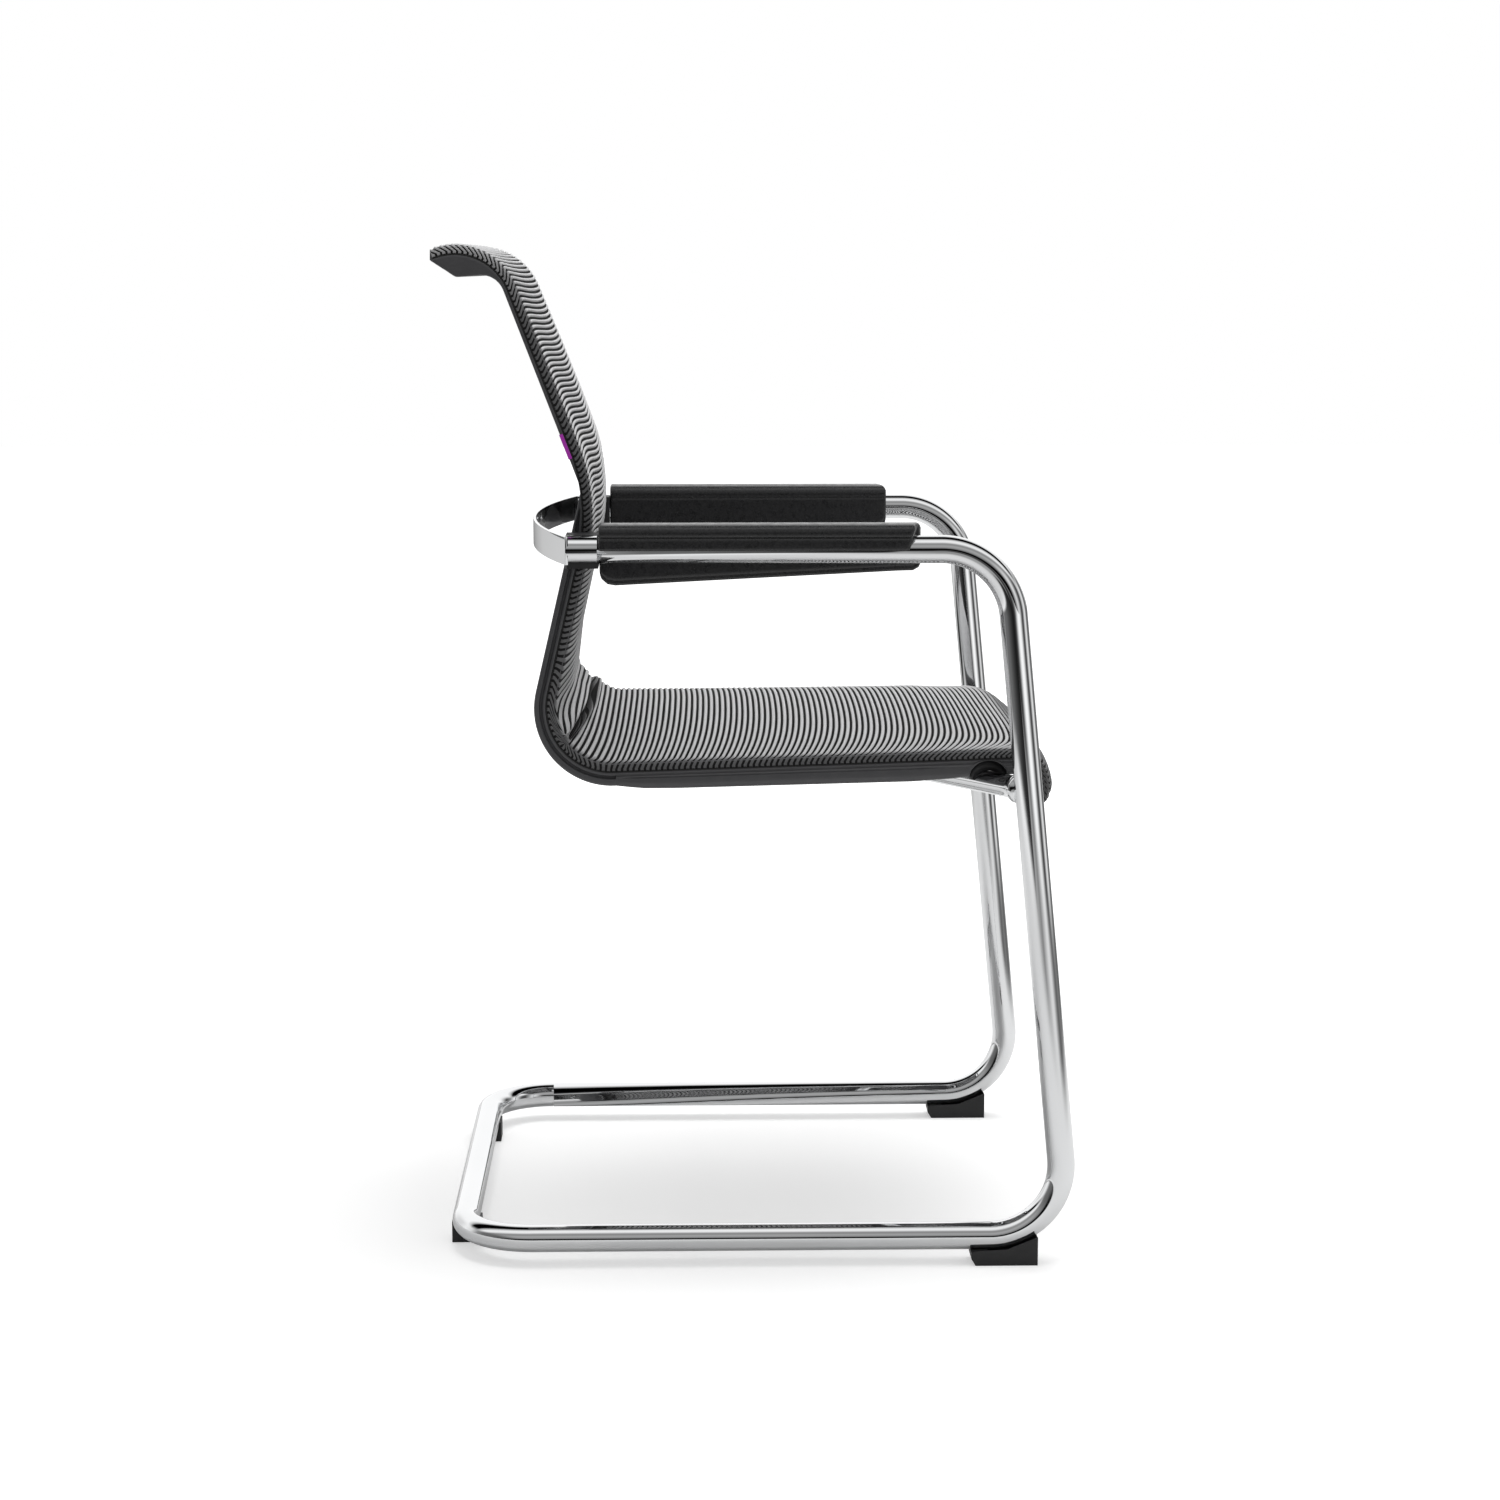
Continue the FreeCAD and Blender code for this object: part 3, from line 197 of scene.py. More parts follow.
def grid_faces(rows, columns, ring=False):
    """Corner numbers of each four-sided face between neighbouring rows and columns."""
    here = np.arange(rows - 1)[:, None] * columns
    j = np.arange(columns if ring else columns - 1)[None, :]
    following, beyond = here + columns, (j + 1) % columns
    return np.stack([here + j, here + beyond, following + beyond, following + j], -1).reshape(-1, 4)


def volume(vertices, faces):
    """Signed volume inside four-sided faces: the sum of each triangle's corner product."""
    a, b, c, d = (vertices[faces[:, k]] for k in range(4))
    return (a * (np.cross(b, c) + np.cross(c, d))).sum() / 6


def bar(name, rings, material):
    """A closed bar from rings of points: rows along it, columns round it, a face on each end."""
    rows, columns = rings.shape[:2]
    vertices = rings.reshape(-1, 3)
    faces = grid_faces(rows, columns, ring=True)
    around = np.arange(columns)
    ends = [around[::-1].tolist(), (around + (rows - 1) * columns).tolist()]
    if volume(vertices - vertices.mean(0), faces) < 0:
        faces = faces[:, ::-1]
        ends = [end[::-1] for end in ends]
    return add_piece(name, vertices, faces.tolist() + ends, material)


print(f"a ring of 4 points on 3 rows has {len(grid_faces(3, 4, ring=True))} faces")

# %% [markdown]
# ## Finishes
# A finish is a small network of shader nodes. Colour, roughness and fine relief come from noise
# and waves in the chair's own space, so they stay put when the camera moves. The helper adds one
# node, sets the inputs that are numbers and links those that come from another node.

# %% Helpers for shader nodes


def node(tree, kind, inputs=None, **settings):
    """Add a node: inputs are its sockets by name or number, settings its menu choices."""
    made = tree.nodes.new("ShaderNode" + kind)
    for key, value in settings.items():
        setattr(made, key, value)
    for key, value in (inputs or {}).items():
        if isinstance(value, bpy.types.NodeSocket):
            tree.links.new(value, made.inputs[key])
        else:
            made.inputs[key].default_value = value
    return made


def sums(tree, operation, a, b=0.0, clamp=False):
    """One sum on two values."""
    return node(tree, "Math", {0: a, 1: b}, operation=operation, use_clamp=clamp).outputs[0]


def times(tree, a, b):
    """The product of two values."""
    return sums(tree, "MULTIPLY", a, b)


def span(tree, value, low, high, to_low=0.0, to_high=1.0, smooth=True):
    """Carry a value from one range to another, clamped at both ends."""
    kind = "SMOOTHSTEP" if smooth else "LINEAR"
    limits = {"From Min": low, "From Max": high, "To Min": to_low, "To Max": to_high}
    return node(tree, "MapRange", {"Value": value, **limits}, interpolation_type=kind).outputs[0]


def noise(tree, scale, detail=3.0, stretch=(1, 1, 1)):
    """Soft noise in the chair's own space; stretch draws it out along an axis."""
    place = node(tree, "TexCoord").outputs["Object"]
    turned = node(tree, "Mapping", {"Vector": place, "Scale": stretch}).outputs[0]
    return node(tree, "TexNoise", {"Vector": turned, "Scale": scale, "Detail": detail}).outputs["Fac"]


def between(tree, share, low, high):
    """Mix two colours by a share; each is three numbers or comes from another node."""
    low, high = (end if isinstance(end, bpy.types.NodeSocket) else (*end, 1) for end in (low, high))
    return node(tree, "Mix", {0: share, 6: low, 7: high}, data_type="RGBA").outputs[2]


def blend(tree, share, low, high):
    """Mix two numbers by a share."""
    return node(tree, "Mix", {0: share, 2: low, 3: high}, data_type="FLOAT").outputs[0]


def fresh_tree(owner):
    """The emptied node tree of a material or a world."""
    owner.use_nodes = True
    owner.node_tree.nodes.clear()
    return owner.node_tree


def finish(name, colour, roughness, relief, metallic=0.0):
    """A new finish; colour, roughness and relief are functions that build nodes."""
    material = bpy.data.materials.new(name)
    tree = fresh_tree(material)
    height, distance, strength = relief(tree)
    bump = node(tree, "Bump", {"Height": height, "Distance": distance, "Strength": strength})
    shader = node(tree, "BsdfPrincipled", {
        "Metallic": metallic, "Base Color": colour(tree), "Roughness": roughness(tree),
        "Normal": bump.outputs[0]})
    node(tree, "OutputMaterial", {"Surface": shader.outputs[0]})
    return material


# %% [markdown]
# Chrome plate is a mirror with faint hand marks, and the drawn tube under it has a slight
# ripple. Both are kept weak, because a mirror shows the smallest error.

# %% Chrome
chrome = finish(
    "chrome_plate",
    lambda t: between(t, noise(t, 9), (0.80, 0.81, 0.82), (0.86, 0.865, 0.87)),
    lambda t: span(t, noise(t, 30, 5), 0.4, 0.8, 0.03, 0.075),
    lambda t: (noise(t, 120, 2, (1, 0.15, 1)), 0.00004, 0.12), metallic=1.0)
print(f"chrome: {len(chrome.node_tree.nodes)} nodes")

# %% [markdown]
# The side frames and crossbars are charcoal mouldings with a satin, spark-eroded skin. The glides
# and joint blocks are a duller black. The bar and the straps under the seat are powder coated,
# which dries with a fine orange peel. Screws and bolts are zinc plated, and the tag is purple.

# %% Mouldings, coated steel, zinc and the tag


def speckled(name, tone, low, high, shine, relief, metallic=0.0):
    """A finish from three noises, each given by its scale and detail.

    The tone mixes two colours, the shine carries noise from 0.3 to 0.7 to a range of roughness,
    and the relief has a distance and a strength.
    """
    return finish(
        name,
        lambda t: between(t, noise(t, *tone), low, high),
        lambda t: span(t, noise(t, *shine[:2]), 0.3, 0.7, *shine[2:]),
        lambda t: (noise(t, *relief[:2]), *relief[2:]), metallic)


def moulding(name, low, high, rough):
    """A moulded plastic: spark-eroded, so its grain is even everywhere."""
    return speckled(name, (60, 5), low, high, (800, 2, rough - 0.06, rough + 0.08),
                    (1900, 2, 0.00008, 0.35))


frame_plastic = moulding("satin_charcoal_moulding", (0.060, 0.060, 0.063), (0.082, 0.082, 0.086), 0.42)
glide_plastic = moulding("dull_black_moulding", (0.014, 0.014, 0.015), (0.024, 0.024, 0.025), 0.5)
edge_rubber = moulding("black_edge_cord", (0.008, 0.008, 0.008), (0.014, 0.014, 0.014), 0.7)
coated_steel = speckled("black_powder_coat", (90, 3), (0.020, 0.020, 0.021), (0.032, 0.032, 0.034),
                        (300, 3, 0.38, 0.5), (700, 1, 0.0001, 0.4))
zinc_steel = speckled("zinc_plated_steel", (200, 4), (0.42, 0.43, 0.45), (0.58, 0.58, 0.56),
                      (500, 3, 0.28, 0.45), (900, 2, 0.00004, 0.3), metallic=1.0)
tag_finish = speckled("purple_tag", (500, 3), (0.42, 0.018, 0.44), (0.56, 0.05, 0.58),
                      (300, 3, 0.3, 0.42), (1500, 2, 0.0001, 0.3))
print("made", [made.name for made in (frame_plastic, glide_plastic, edge_rubber, coated_steel)])

# %% [markdown]
# The arm leather has a fine pebble grain with a few soft creases, darker in the grain's valleys.
# Cells of a Voronoi pattern, rounded at their edges, give the pebbles.

# %% Leather


def pebbles(tree):
    """Distance from the middle of each rounded cell."""
    place = node(tree, "TexCoord").outputs["Object"]
    cells = node(tree, "TexVoronoi", {"Vector": place, "Scale": 620.0}, feature="SMOOTH_F1")
    return cells.outputs["Distance"]


def leather_relief(tree):
    """Pebbles at 0.6 of their height, plus creases drawn out along the arm."""
    creases = noise(tree, 70, 4, (1, 0.35, 1))
    mixed = sums(tree, "ADD", times(tree, pebbles(tree), 0.6), creases)
    return mixed, 0.00008, 0.17


leather = finish(
    "soft_black_leather",
    lambda t: between(t, span(t, pebbles(t), 0.2, 0.7), (0.026, 0.026, 0.027), (0.015, 0.015, 0.016)),
    lambda t: span(t, noise(t, 140, 4), 0.3, 0.7, 0.25, 0.37), leather_relief)
print(f"leather: {len(leather.node_tree.nodes)} nodes")

# %% [markdown]
# The mesh is ribbed: round grey ribs stand over narrow dark gaps. The surface carries its own
# map, where V counts ribs and U is the distance across in millimetres, so the colour follows
# each rib round every curve. Painted shade darkens the ribs on the turned-down edges, the front
# roll and the lower back, painted shade makes the crease black, and fine stitches cross the ribs.

# %% Ribbed mesh
RIB_SHARE, RIB_BLUR, STITCH = 0.57, 0.03, 0.9


def rib_place(tree):
    """How far across its own rib a point lies, from 0 to 1, and its distance across the sheet."""
    uv = node(tree, "SeparateXYZ", {0: node(tree, "UVMap").outputs[0]})
    return sums(tree, "FRACT", uv.outputs[1]), uv.outputs[0]


def rib_top(tree):
    """1 on a rib, 0 in a gap, soft at both edges."""
    place, _ = rib_place(tree)
    away = sums(tree, "ABSOLUTE", sums(tree, "SUBTRACT", place, RIB_SHARE / 2))
    return span(tree, away, RIB_SHARE / 2 - RIB_BLUR, RIB_SHARE / 2 + RIB_BLUR, 1.0, 0.0)


def rib_colour(tree):
    """Grey ribs over black gaps; painted shade turns the ribs to a shaded grey up to 1, and hides them from
    1 to 2.
    """
    edge = node(tree, "Attribute", attribute_name="painted_rib_shade").outputs["Fac"]
    top = between(tree, noise(tree, 260, 3), (0.37, 0.37, 0.374), (0.47, 0.47, 0.475))
    # Painted shade: a darker, shaded copy of the rib grey for the turned edges, the front roll and the lower
    # back
    side = between(tree, noise(tree, 500, 3), (0.07, 0.07, 0.072), (0.13, 0.13, 0.133))
    # Painted shade from 1 to 2 hides the ribs, so the crease shows black
    seen = times(tree, rib_top(tree), sums(tree, "SUBTRACT", 2.0, edge, clamp=True))
    return between(tree, seen, (0.002, 0.002, 0.002), between(tree, edge, top, side))


def stitch_relief(tree):
    """Stitches across the ribs: a sine of the distance across, on the ribs only."""
    _, across = rib_place(tree)
    wave = sums(tree, "SINE", times(tree, across, 2 * np.pi / STITCH))
    return times(tree, wave, rib_top(tree)), 0.00012, 0.4


mesh_fabric = finish(
    "ribbed_mesh", rib_colour, lambda t: span(t, rib_top(t), 0.0, 1.0, 0.95, 0.5), stitch_relief)
print(f"{len(bpy.data.materials)} materials")

# %% [markdown]
# ## Chrome tube frame
# One tube of 27 mm runs from the left arm end over the upper bend, down the leg, along the floor,
# round the rear and back up the other side. It could be a bevelled curve, but a grid gives exact
# bends and even rings. A ring of 48 points is carried along the line; in the side planes the
# ring's first axis is X, and round the rear corners it turns with the tube.

# %% Tube line and rings
RING = np.radians(np.arange(48) * 7.5)


def ring_places(line, bend_step):
    """Lengths along a line where rings go: close together on bends, near the ends of straights."""
    length, _, heading = line
    turning = np.abs(np.diff(heading, prepend=heading[0])) > 1e-6
    change = np.flatnonzero(np.diff(turning.astype(int)))
    marks = (length[change][:, None] + [-2, 0, 2]).ravel()
    places = np.concatenate([[0, length[-1]], marks, length[turning][::bend_step]])
    return np.unique(np.round(places, 3))


def round_rings(centres, first, second, radius):
    """Rings of points: each is its centre plus radius times a turning mix of two axes."""
    radius = np.broadcast_to(radius, len(centres))[:, None, None]
    turn = np.cos(RING)[None, :, None] * first[:, None] + np.sin(RING)[None, :, None] * second[:, None]
    return centres[:, None] + radius * turn


def side_line():
    """The arm end, upper bend, leg, foot bend and floor rail in the side plane (Y, Z)."""
    knuckle, foot = (fore(leg_reach(ARM_AXIS)), ARM_AXIS), (fore(FOOT_REACH), RAIL_AXIS)
    down = 270 - LEG_LEAN
    return walk((fore(ARM_END), ARM_AXIS), [(knuckle, 180, down, BEND_R), (foot, down, 360, BEND_R)],
                (fore(BEND_R), RAIL_AXIS))


def rear_line():
    """From the left rail round both rear corners, in the floor plane (X, Y)."""
    left, right = (HALF_SPACING, fore(0)), (-HALF_SPACING, fore(0))
    return walk((HALF_SPACING, fore(BEND_R)), [(left, 90, 180, BEND_R), (right, 180, 270, BEND_R)],
                (-HALF_SPACING, fore(BEND_R)))


def tube_rings():
    """All rings of the frame tube, in order from the left arm end to the right arm end."""
    side, rear = side_line(), rear_line()
    spots, heading = at(side, ring_places(side, 14))
    left = np.insert(spots, 0, HALF_SPACING, axis=1)
    first = np.broadcast_to([1.0, 0, 0], left.shape)
    second = np.cross(np.insert(compass(heading), 0, 0, axis=1), first)
    spots, heading = at(rear, ring_places(rear, 14)[1:-1])
    back = np.insert(spots, 2, RAIL_AXIS, axis=1)
    back_second = np.broadcast_to([0, 0, -1.0], back.shape)
    back_first = np.cross(back_second, np.insert(compass(heading), 2, 0, axis=1))
    centres = np.concatenate([left, back, left[::-1] * [-1, 1, 1]])
    first = np.concatenate([first, back_first, -first])
    second = np.concatenate([second, back_second, second[::-1] * [-1, 1, 1]])
    return centres, first, second


# %% Frame tube
centres, first, second = tube_rings()
# Each arm end is chamfered, and open for a short way down its bore
END_CHAMFER, BORE_R, BORE_DEPTH = 0.35, 11.6, 22.0
radius = np.full(len(centres), TUBE_R)
radius[[0, -1]] -= END_CHAMFER
bore = centres[0] - np.array([[0, BORE_DEPTH, 0], [0, 0, 0]])
centres = np.concatenate([bore, centres, bore[::-1] * [-1, 1, 1]])
first, second = (np.concatenate([axis[[0, 0]], axis, axis[[-1, -1]]]) for axis in (first, second))
radius = np.pad(radius, 2, constant_values=BORE_R)
tube = bar("frame_tube", round_rings(centres, first, second, radius), chrome)
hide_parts("cantilever_frame")
print(f"frame tube: {len(centres)} rings")

# %% [markdown]
# The seat hangs on a thinner tube, bowed in plan and welded to both legs. Its ends run into the
# legs, and a fillet of weld under the plating closes each joint: at a distance d from the leg the
# section swells by the weld's rise times exp(-d / fade).

# %% Seat support tube with its welds
SUPPORT_R, SUPPORT_Z, SUPPORT_ANGLE = 11.0, 469.5, 35.0
SUPPORT_HALF, SUPPORT_BEND = 135.0, 60.0
WELD_RISE, WELD_FADE, WELD_LENGTH = 3.6, 4.2, 14.0
support_leg = leg_reach(SUPPORT_Z)
support_back = support_leg - (HALF_SPACING - SUPPORT_HALF) * slope(SUPPORT_ANGLE)
line = walk((-HALF_SPACING, fore(support_leg)),
            [((-SUPPORT_HALF, fore(support_back)), SUPPORT_ANGLE, 0, SUPPORT_BEND),
             ((SUPPORT_HALF, fore(support_back)), 0, -SUPPORT_ANGLE, SUPPORT_BEND)],
            (HALF_SPACING, fore(support_leg)))
weld = TUBE_R / np.cos(np.radians(SUPPORT_ANGLE))
marks = weld + np.array([-6, -2, 0, 1, 2, 3.2, 4.6, 6.4, 8.6, 11.5, 15])
places = ring_places(line, 10)
places = places[(places > weld + 18) & (places < line[0][-1] - weld - 18)]
places = np.concatenate([marks, places, (line[0][-1] - marks)[::-1]])
spots, heading = at(line, places)
beyond_weld = np.maximum(np.minimum(places, line[0][-1] - places) - weld, 0)
swell = np.where(beyond_weld < WELD_LENGTH, WELD_RISE * np.exp(-beyond_weld / WELD_FADE), 0)
centres = np.insert(spots, 2, SUPPORT_Z, axis=1)
second = np.broadcast_to([0, 0, 1.0], centres.shape)
first = np.cross(np.insert(compass(heading), 2, 0, axis=1), second)
rings = round_rings(centres, first, second, SUPPORT_R + swell)
support = bar("seat_support", rings, chrome)
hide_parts("seat_support_tube")
print(f"seat support: {len(places)} rings, its bow {support_leg - support_back:.1f} mm behind the legs")

# %% [markdown]
# Each strap is held to the bar by two small pan-head screws with a round socket.

# %% Strap screws
SCREW = [(3.7, 0.1), (3.7, -1.1), (3.3, -1.8), (2.4, -2.2), (1.5, -2.2), (1.4, -1.0)]
STRAP_THICK, FLANGE_MIDDLE = 2.0, 18.6
flat = np.stack([np.cos(RING), np.sin(RING)], -1)
for side, _ in SIDES:
    low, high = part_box(f"{side}_tube_strap")
    middle_x, flange = (low.x + high.x) / 2 / MM, high.z / MM - STRAP_THICK
    for number, ahead in enumerate((FLANGE_MIDDLE, -FLANGE_MIDDLE)):
        middle = np.array([middle_x, fore(support_back + ahead)])
        rings = np.stack([np.insert(middle + size * flat, 2, flange + level, axis=1)
                          for size, level in SCREW])
        bar(f"{side}_strap_screw_{number + 1}", rings, zinc_steel)
print("four strap screws")

# %% [markdown]
# ## Flat band
# A chromed steel flat, 27 by 3 mm, closes both arm ends behind the back. In plan it is one arc,
# so a section with rounded corners is carried round that arc. The ends are cut square to it.

# %% Band
BAND_THICK, BAND_BOW = 3.0, 41.5
BAND_REAR = WAIST_REACH - 14.2 - BAND_BOW
band_half = HALF_SPACING + TUBE_R
band_r = (band_half ** 2 + BAND_BOW ** 2) / (2 * BAND_BOW)
band_turn = np.arcsin(band_half / band_r)


def rounded_section(width, height, radius):
    """Corner points of a rounded rectangle about its centre: four quarter circles in turn."""
    corner = np.repeat([(1, 1), (-1, 1), (-1, -1), (1, -1)], 5, axis=0)
    angle = np.tile(np.radians(np.linspace(0, 90, 5)), 4) + np.repeat(np.arange(4) * np.pi / 2, 5)
    straight = np.array([width, height]) / 2 - radius
    return corner * straight + radius * np.column_stack([np.cos(angle), np.sin(angle)])


section = rounded_section(BAND_THICK, 2 * TUBE_R, 0.7)
turns = np.concatenate([[-1, -0.9985], np.linspace(-0.995, 0.995, 60), [0.9985, 1]]) * band_turn
shrink = np.ones(len(turns))
shrink[[0, -1]] = 0.9
depth = band_r - BAND_THICK / 2 + section[None, :, 0] * shrink[:, None]
height = ARM_AXIS + section[None, :, 1] * (1 - (1 - shrink[:, None]) * 0.2)
centre_y = fore(BAND_REAR) - band_r
rings = np.stack([depth * np.sin(turns)[:, None], centre_y + depth * np.cos(turns)[:, None],
                  np.broadcast_to(height, depth.shape)], -1)
band = bar("back_flat_band", rings, chrome)
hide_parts("back_band")
print(f"band radius {band_r:.0f} mm")

# %% [markdown]
# ## The sling's side line
# Seen from the side, plastic and mesh meet along one line: over the headrest, down the back,
# round into the seat and over the front edge. Side frames and mesh are both measured from it, as
# a depth: positive towards the rear and the underside, negative towards the sitter.

# %% Side line
TIP, DOWN, WAIST, SEAT, TUCK = 161.4, 249.0, 283.1, 178.2, 274.6
TOP_Z, BACK_LEAN, SEAT_RISE, JOINT_AHEAD = 993.3, 21.0, 1.8, 82.9
TOP_REACH = LUMBAR_REACH - (TOP_Z - LUMBAR_Z) * slope(BACK_LEAN)
TOP_CORNER = (fore(TOP_REACH), TOP_Z)
BEND_Z = SUPPORT_Z + 11.0
NOSE_REACH = support_leg + 15.3
LEAD = 3.0
bend_reach = LUMBAR_REACH - (LUMBAR_Z - BEND_Z) * slope(LOWER_LEAN)
nose_z = BEND_Z + (NOSE_REACH - bend_reach) * slope(SEAT_RISE)
# Corner, heading in, heading out and radius of each bend
TOP_R, TIP_RUN, TUCK_DROP, TUCK_TURN = 54.0, 4.0, 48.1, 4.6
CORNERS = [(TOP_CORNER, TIP, DOWN, TOP_R), ((fore(LUMBAR_REACH), LUMBAR_Z), DOWN, WAIST, 180.0),
           ((fore(bend_reach), BEND_Z), WAIST, SEAT, 62.0), ((fore(NOSE_REACH), nose_z), SEAT, TUCK, 30.0)]
tip_length = TOP_R * slope((DOWN - TIP) / 2) + TIP_RUN
tip_point = TOP_CORNER - tip_length * compass(TIP)
tuck_point = np.array(CORNERS[3][0]) + TUCK_DROP / np.cos(np.radians(TUCK_TURN)) * compass(TUCK)
sling = walk(tip_point - LEAD * compass(TIP), CORNERS, tuck_point)
SLING_END = sling[0][-1]


def length_at(reach, height):
    """Distance along the side line of the place nearest to a point."""
    gap = sling[1] - np.array([float(fore(reach)), height])
    return sling[0][np.argmin((gap ** 2).sum(1))]


def seat_height(reach):
    """Height of the seat's straight stretch at a reach."""
    return BEND_Z + (reach - bend_reach) * slope(SEAT_RISE)


joint = length_at(bend_reach + JOINT_AHEAD, seat_height(bend_reach + JOINT_AHEAD))
crease = length_at(98.0, 505.0)
print(f"side line {SLING_END:.0f} mm, joint at {joint:.0f}, crease at {crease:.0f}")

# %% [markdown]
# ## Moulded side frames
# Each side frame is one moulded bar whose section changes along the side line: a thin strip
# beside the upper back, a fin at the headrest, a deep grooved rib from the lumbar bend down, and
# a rounded rail under the seat with an arch over the support tube. The section is a closed loop
# of points whose depths follow the outer edge, so one function draws every stretch.

# %% Outer edge of the side frames


def corner_between(corner, depth_in, depth_out):
    """Where the two lines of a corner meet once each is moved beside itself by a depth."""
    point, a, b, _ = corner
    return crossing(np.array(point) + depth_in * compass(a + 90), a,
                    np.array(point) + depth_out * compass(b + 90), b)


STRIP, RIB_DEPTH, JOINT_DEPTH, RAIL_DEPTH, NOSE_DEPTH = 4.5, 12.3, 14.5, 21.0, 10.0
FIN_INSET, FIN_DROP, FIN_RUN, UNDER_FIN, UNDER_TOP = 31.1, 36.0, 29.0, 213.5, 175.3
fin = np.array([fore(TOP_REACH - FIN_INSET), TOP_Z - FIN_DROP])
fin_tip = fin - FIN_RUN * compass(UNDER_FIN)
strip_line = np.array(TOP_CORNER) + STRIP * compass(DOWN + 90)
edge = walk(fin_tip, [(fin, UNDER_FIN, UNDER_TOP, 6.0),
                      (crossing(fin, UNDER_TOP, strip_line, DOWN), UNDER_TOP, DOWN, 22.0),
                      (corner_between(CORNERS[1], STRIP, RIB_DEPTH), DOWN, WAIST, 14.0),
                      (corner_between(CORNERS[2], RIB_DEPTH, JOINT_DEPTH), WAIST, SEAT, 75.4)],
            beside(sling, joint, JOINT_DEPTH))


def depth_profile(points):
    """Each point of an outer edge as (length along the side line, depth beside it)."""
    gap = points[:, None, :] - sling[1][None, ::2, :]
    nearest = (gap ** 2).sum(-1).argmin(1)
    off = points - sling[1][::2][nearest]
    heading = sling[2][::2][nearest]
    return sling[0][::2][nearest], (off * compass(heading + 90)).sum(-1)


edge_place, edge_depth = depth_profile(edge[1][::8])
order = np.argsort(edge_place, kind="stable")
back_depth = (edge_place[order], edge_depth[order])
print(f"back frame depth from {edge_depth.min():.1f} to {edge_depth.max():.1f} mm")

# %% Section of a side frame
WIDE, CHANNEL, LEDGE, DRAW_IN = SHELL_OUTER - SHELL_INNER, 2.3, 1.4, 0.35


def side_section(place, outer, groove, under, shelf):
    """Closed loops of (inset from the outer face, depth beside the line), one for each place.

    From the lip down its outer face into the cord channel, out to the thin strip, round the
    groove, down the face to the outer corner, across the underside and up the inner face.
    outer is the edge's depth, groove = (start, width, depth) and under the corner's roundness.
    shelf is how far the upper face leans in before it steps out again.
    """
    start, width, sink = groove
    radius = np.minimum(under, 0.35 * (outer - LEDGE))
    room = np.clip((outer - radius - 1.6) / (start + width - 1.0), 0.03, 1)
    lip = np.interp(place, [0, LEAD], [1.0, -7.3])

    def across(share):
        """Depth at a share of the groove's width, squeezed where the frame is thin."""
        return LEDGE + (start + width * share - LEDGE) * room

    loop = [(2.8, lip), (CHANNEL, np.minimum(lip + 0.5, 1.2)), (CHANNEL, LEDGE), (0.35, LEDGE),
            (0.0, LEDGE + 0.3 * room), (0.0, across(-0.06))]
    loop += [(deep * sink, across(share)) for deep, share in
             [(0.12, 0.0), (0.85, 0.14), (1.0, 0.35), (1.0, 0.65), (0.85, 0.86), (0.12, 1.0)]]
    top = across(1.08)
    loop += [(lean * shelf, top + share * (outer - radius - top)) for lean, share in
             [(0.1, 0.0), (0.55, 0.14), (1.0, 0.26), (0.95, 0.29), (0.15, 0.33), (0.0, 0.4)]]
    turns = np.radians(np.linspace(0, 90, 7))
    loop += [(radius * (1 - np.cos(t)), outer - radius * (1 - np.sin(t))) for t in turns]
    inner = np.minimum(2.0, 0.4 * (outer - lip))
    loop += [(WIDE - inner * (1 - np.sin(t)), outer - inner * (1 - np.cos(t))) for t in turns[::2]]
    loop += [(WIDE, lip + 0.6), (WIDE - 0.6, lip)]
    return (np.stack(np.broadcast_arrays(*values), 1) for values in zip(*loop))


print(f"side frames {WIDE:.0f} mm wide, cord channel {CHANNEL} mm deep")

# %% Bars along the side line


def tidy_ends(inset, depth):
    """Draw the first and last loops in by a little, so that joints show as fine lines."""
    for row in (0, -1):
        for values in (inset, depth):
            centre = values[row].mean()
            reach = np.abs(values[row] - centre).max()
            values[row] = centre + (values[row] - centre) * (1 - DRAW_IN / reach)
    return inset, depth


def square_to(places, depth):
    """Points of a grid: each row stands square to the side line at its place, by the depths."""
    spot, heading = at(sling, places)
    return spot[:, None] + depth[..., None] * compass(heading + 90)[:, None]


def side_bar(name, sign, places, outer, groove, under, shelf, replaced):
    """Carry the section along the side line between its places."""
    places = np.concatenate([[places[0]], places, [places[-1]]])
    places[[1, -2]] += [DRAW_IN, -DRAW_IN]
    outer, under, shelf = (np.interp(places, places[1:-1], v) for v in (outer, under, shelf))
    groove = [np.interp(places, places[1:-1], v) for v in groove]
    inset, depth = tidy_ends(*side_section(places, outer, groove, under, shelf))
    rings = np.concatenate([(sign * (SHELL_OUTER - inset))[..., None], square_to(places, depth)], -1)
    piece = bar(name, rings, frame_plastic)
    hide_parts(replaced)


def along_curve(first, last, close):
    """Places between two lengths: 8 mm apart on straight stretches, closer on bends."""
    length, _, heading = sling
    rate = 1 / 8.0 + (np.abs(np.gradient(heading, length)) > 1e-4) / close
    passed = np.cumsum(rate) * STEP
    count = np.interp([first, last], length, passed)
    return np.interp(np.linspace(*count, int(count[1] - count[0]) + 2), passed, length)


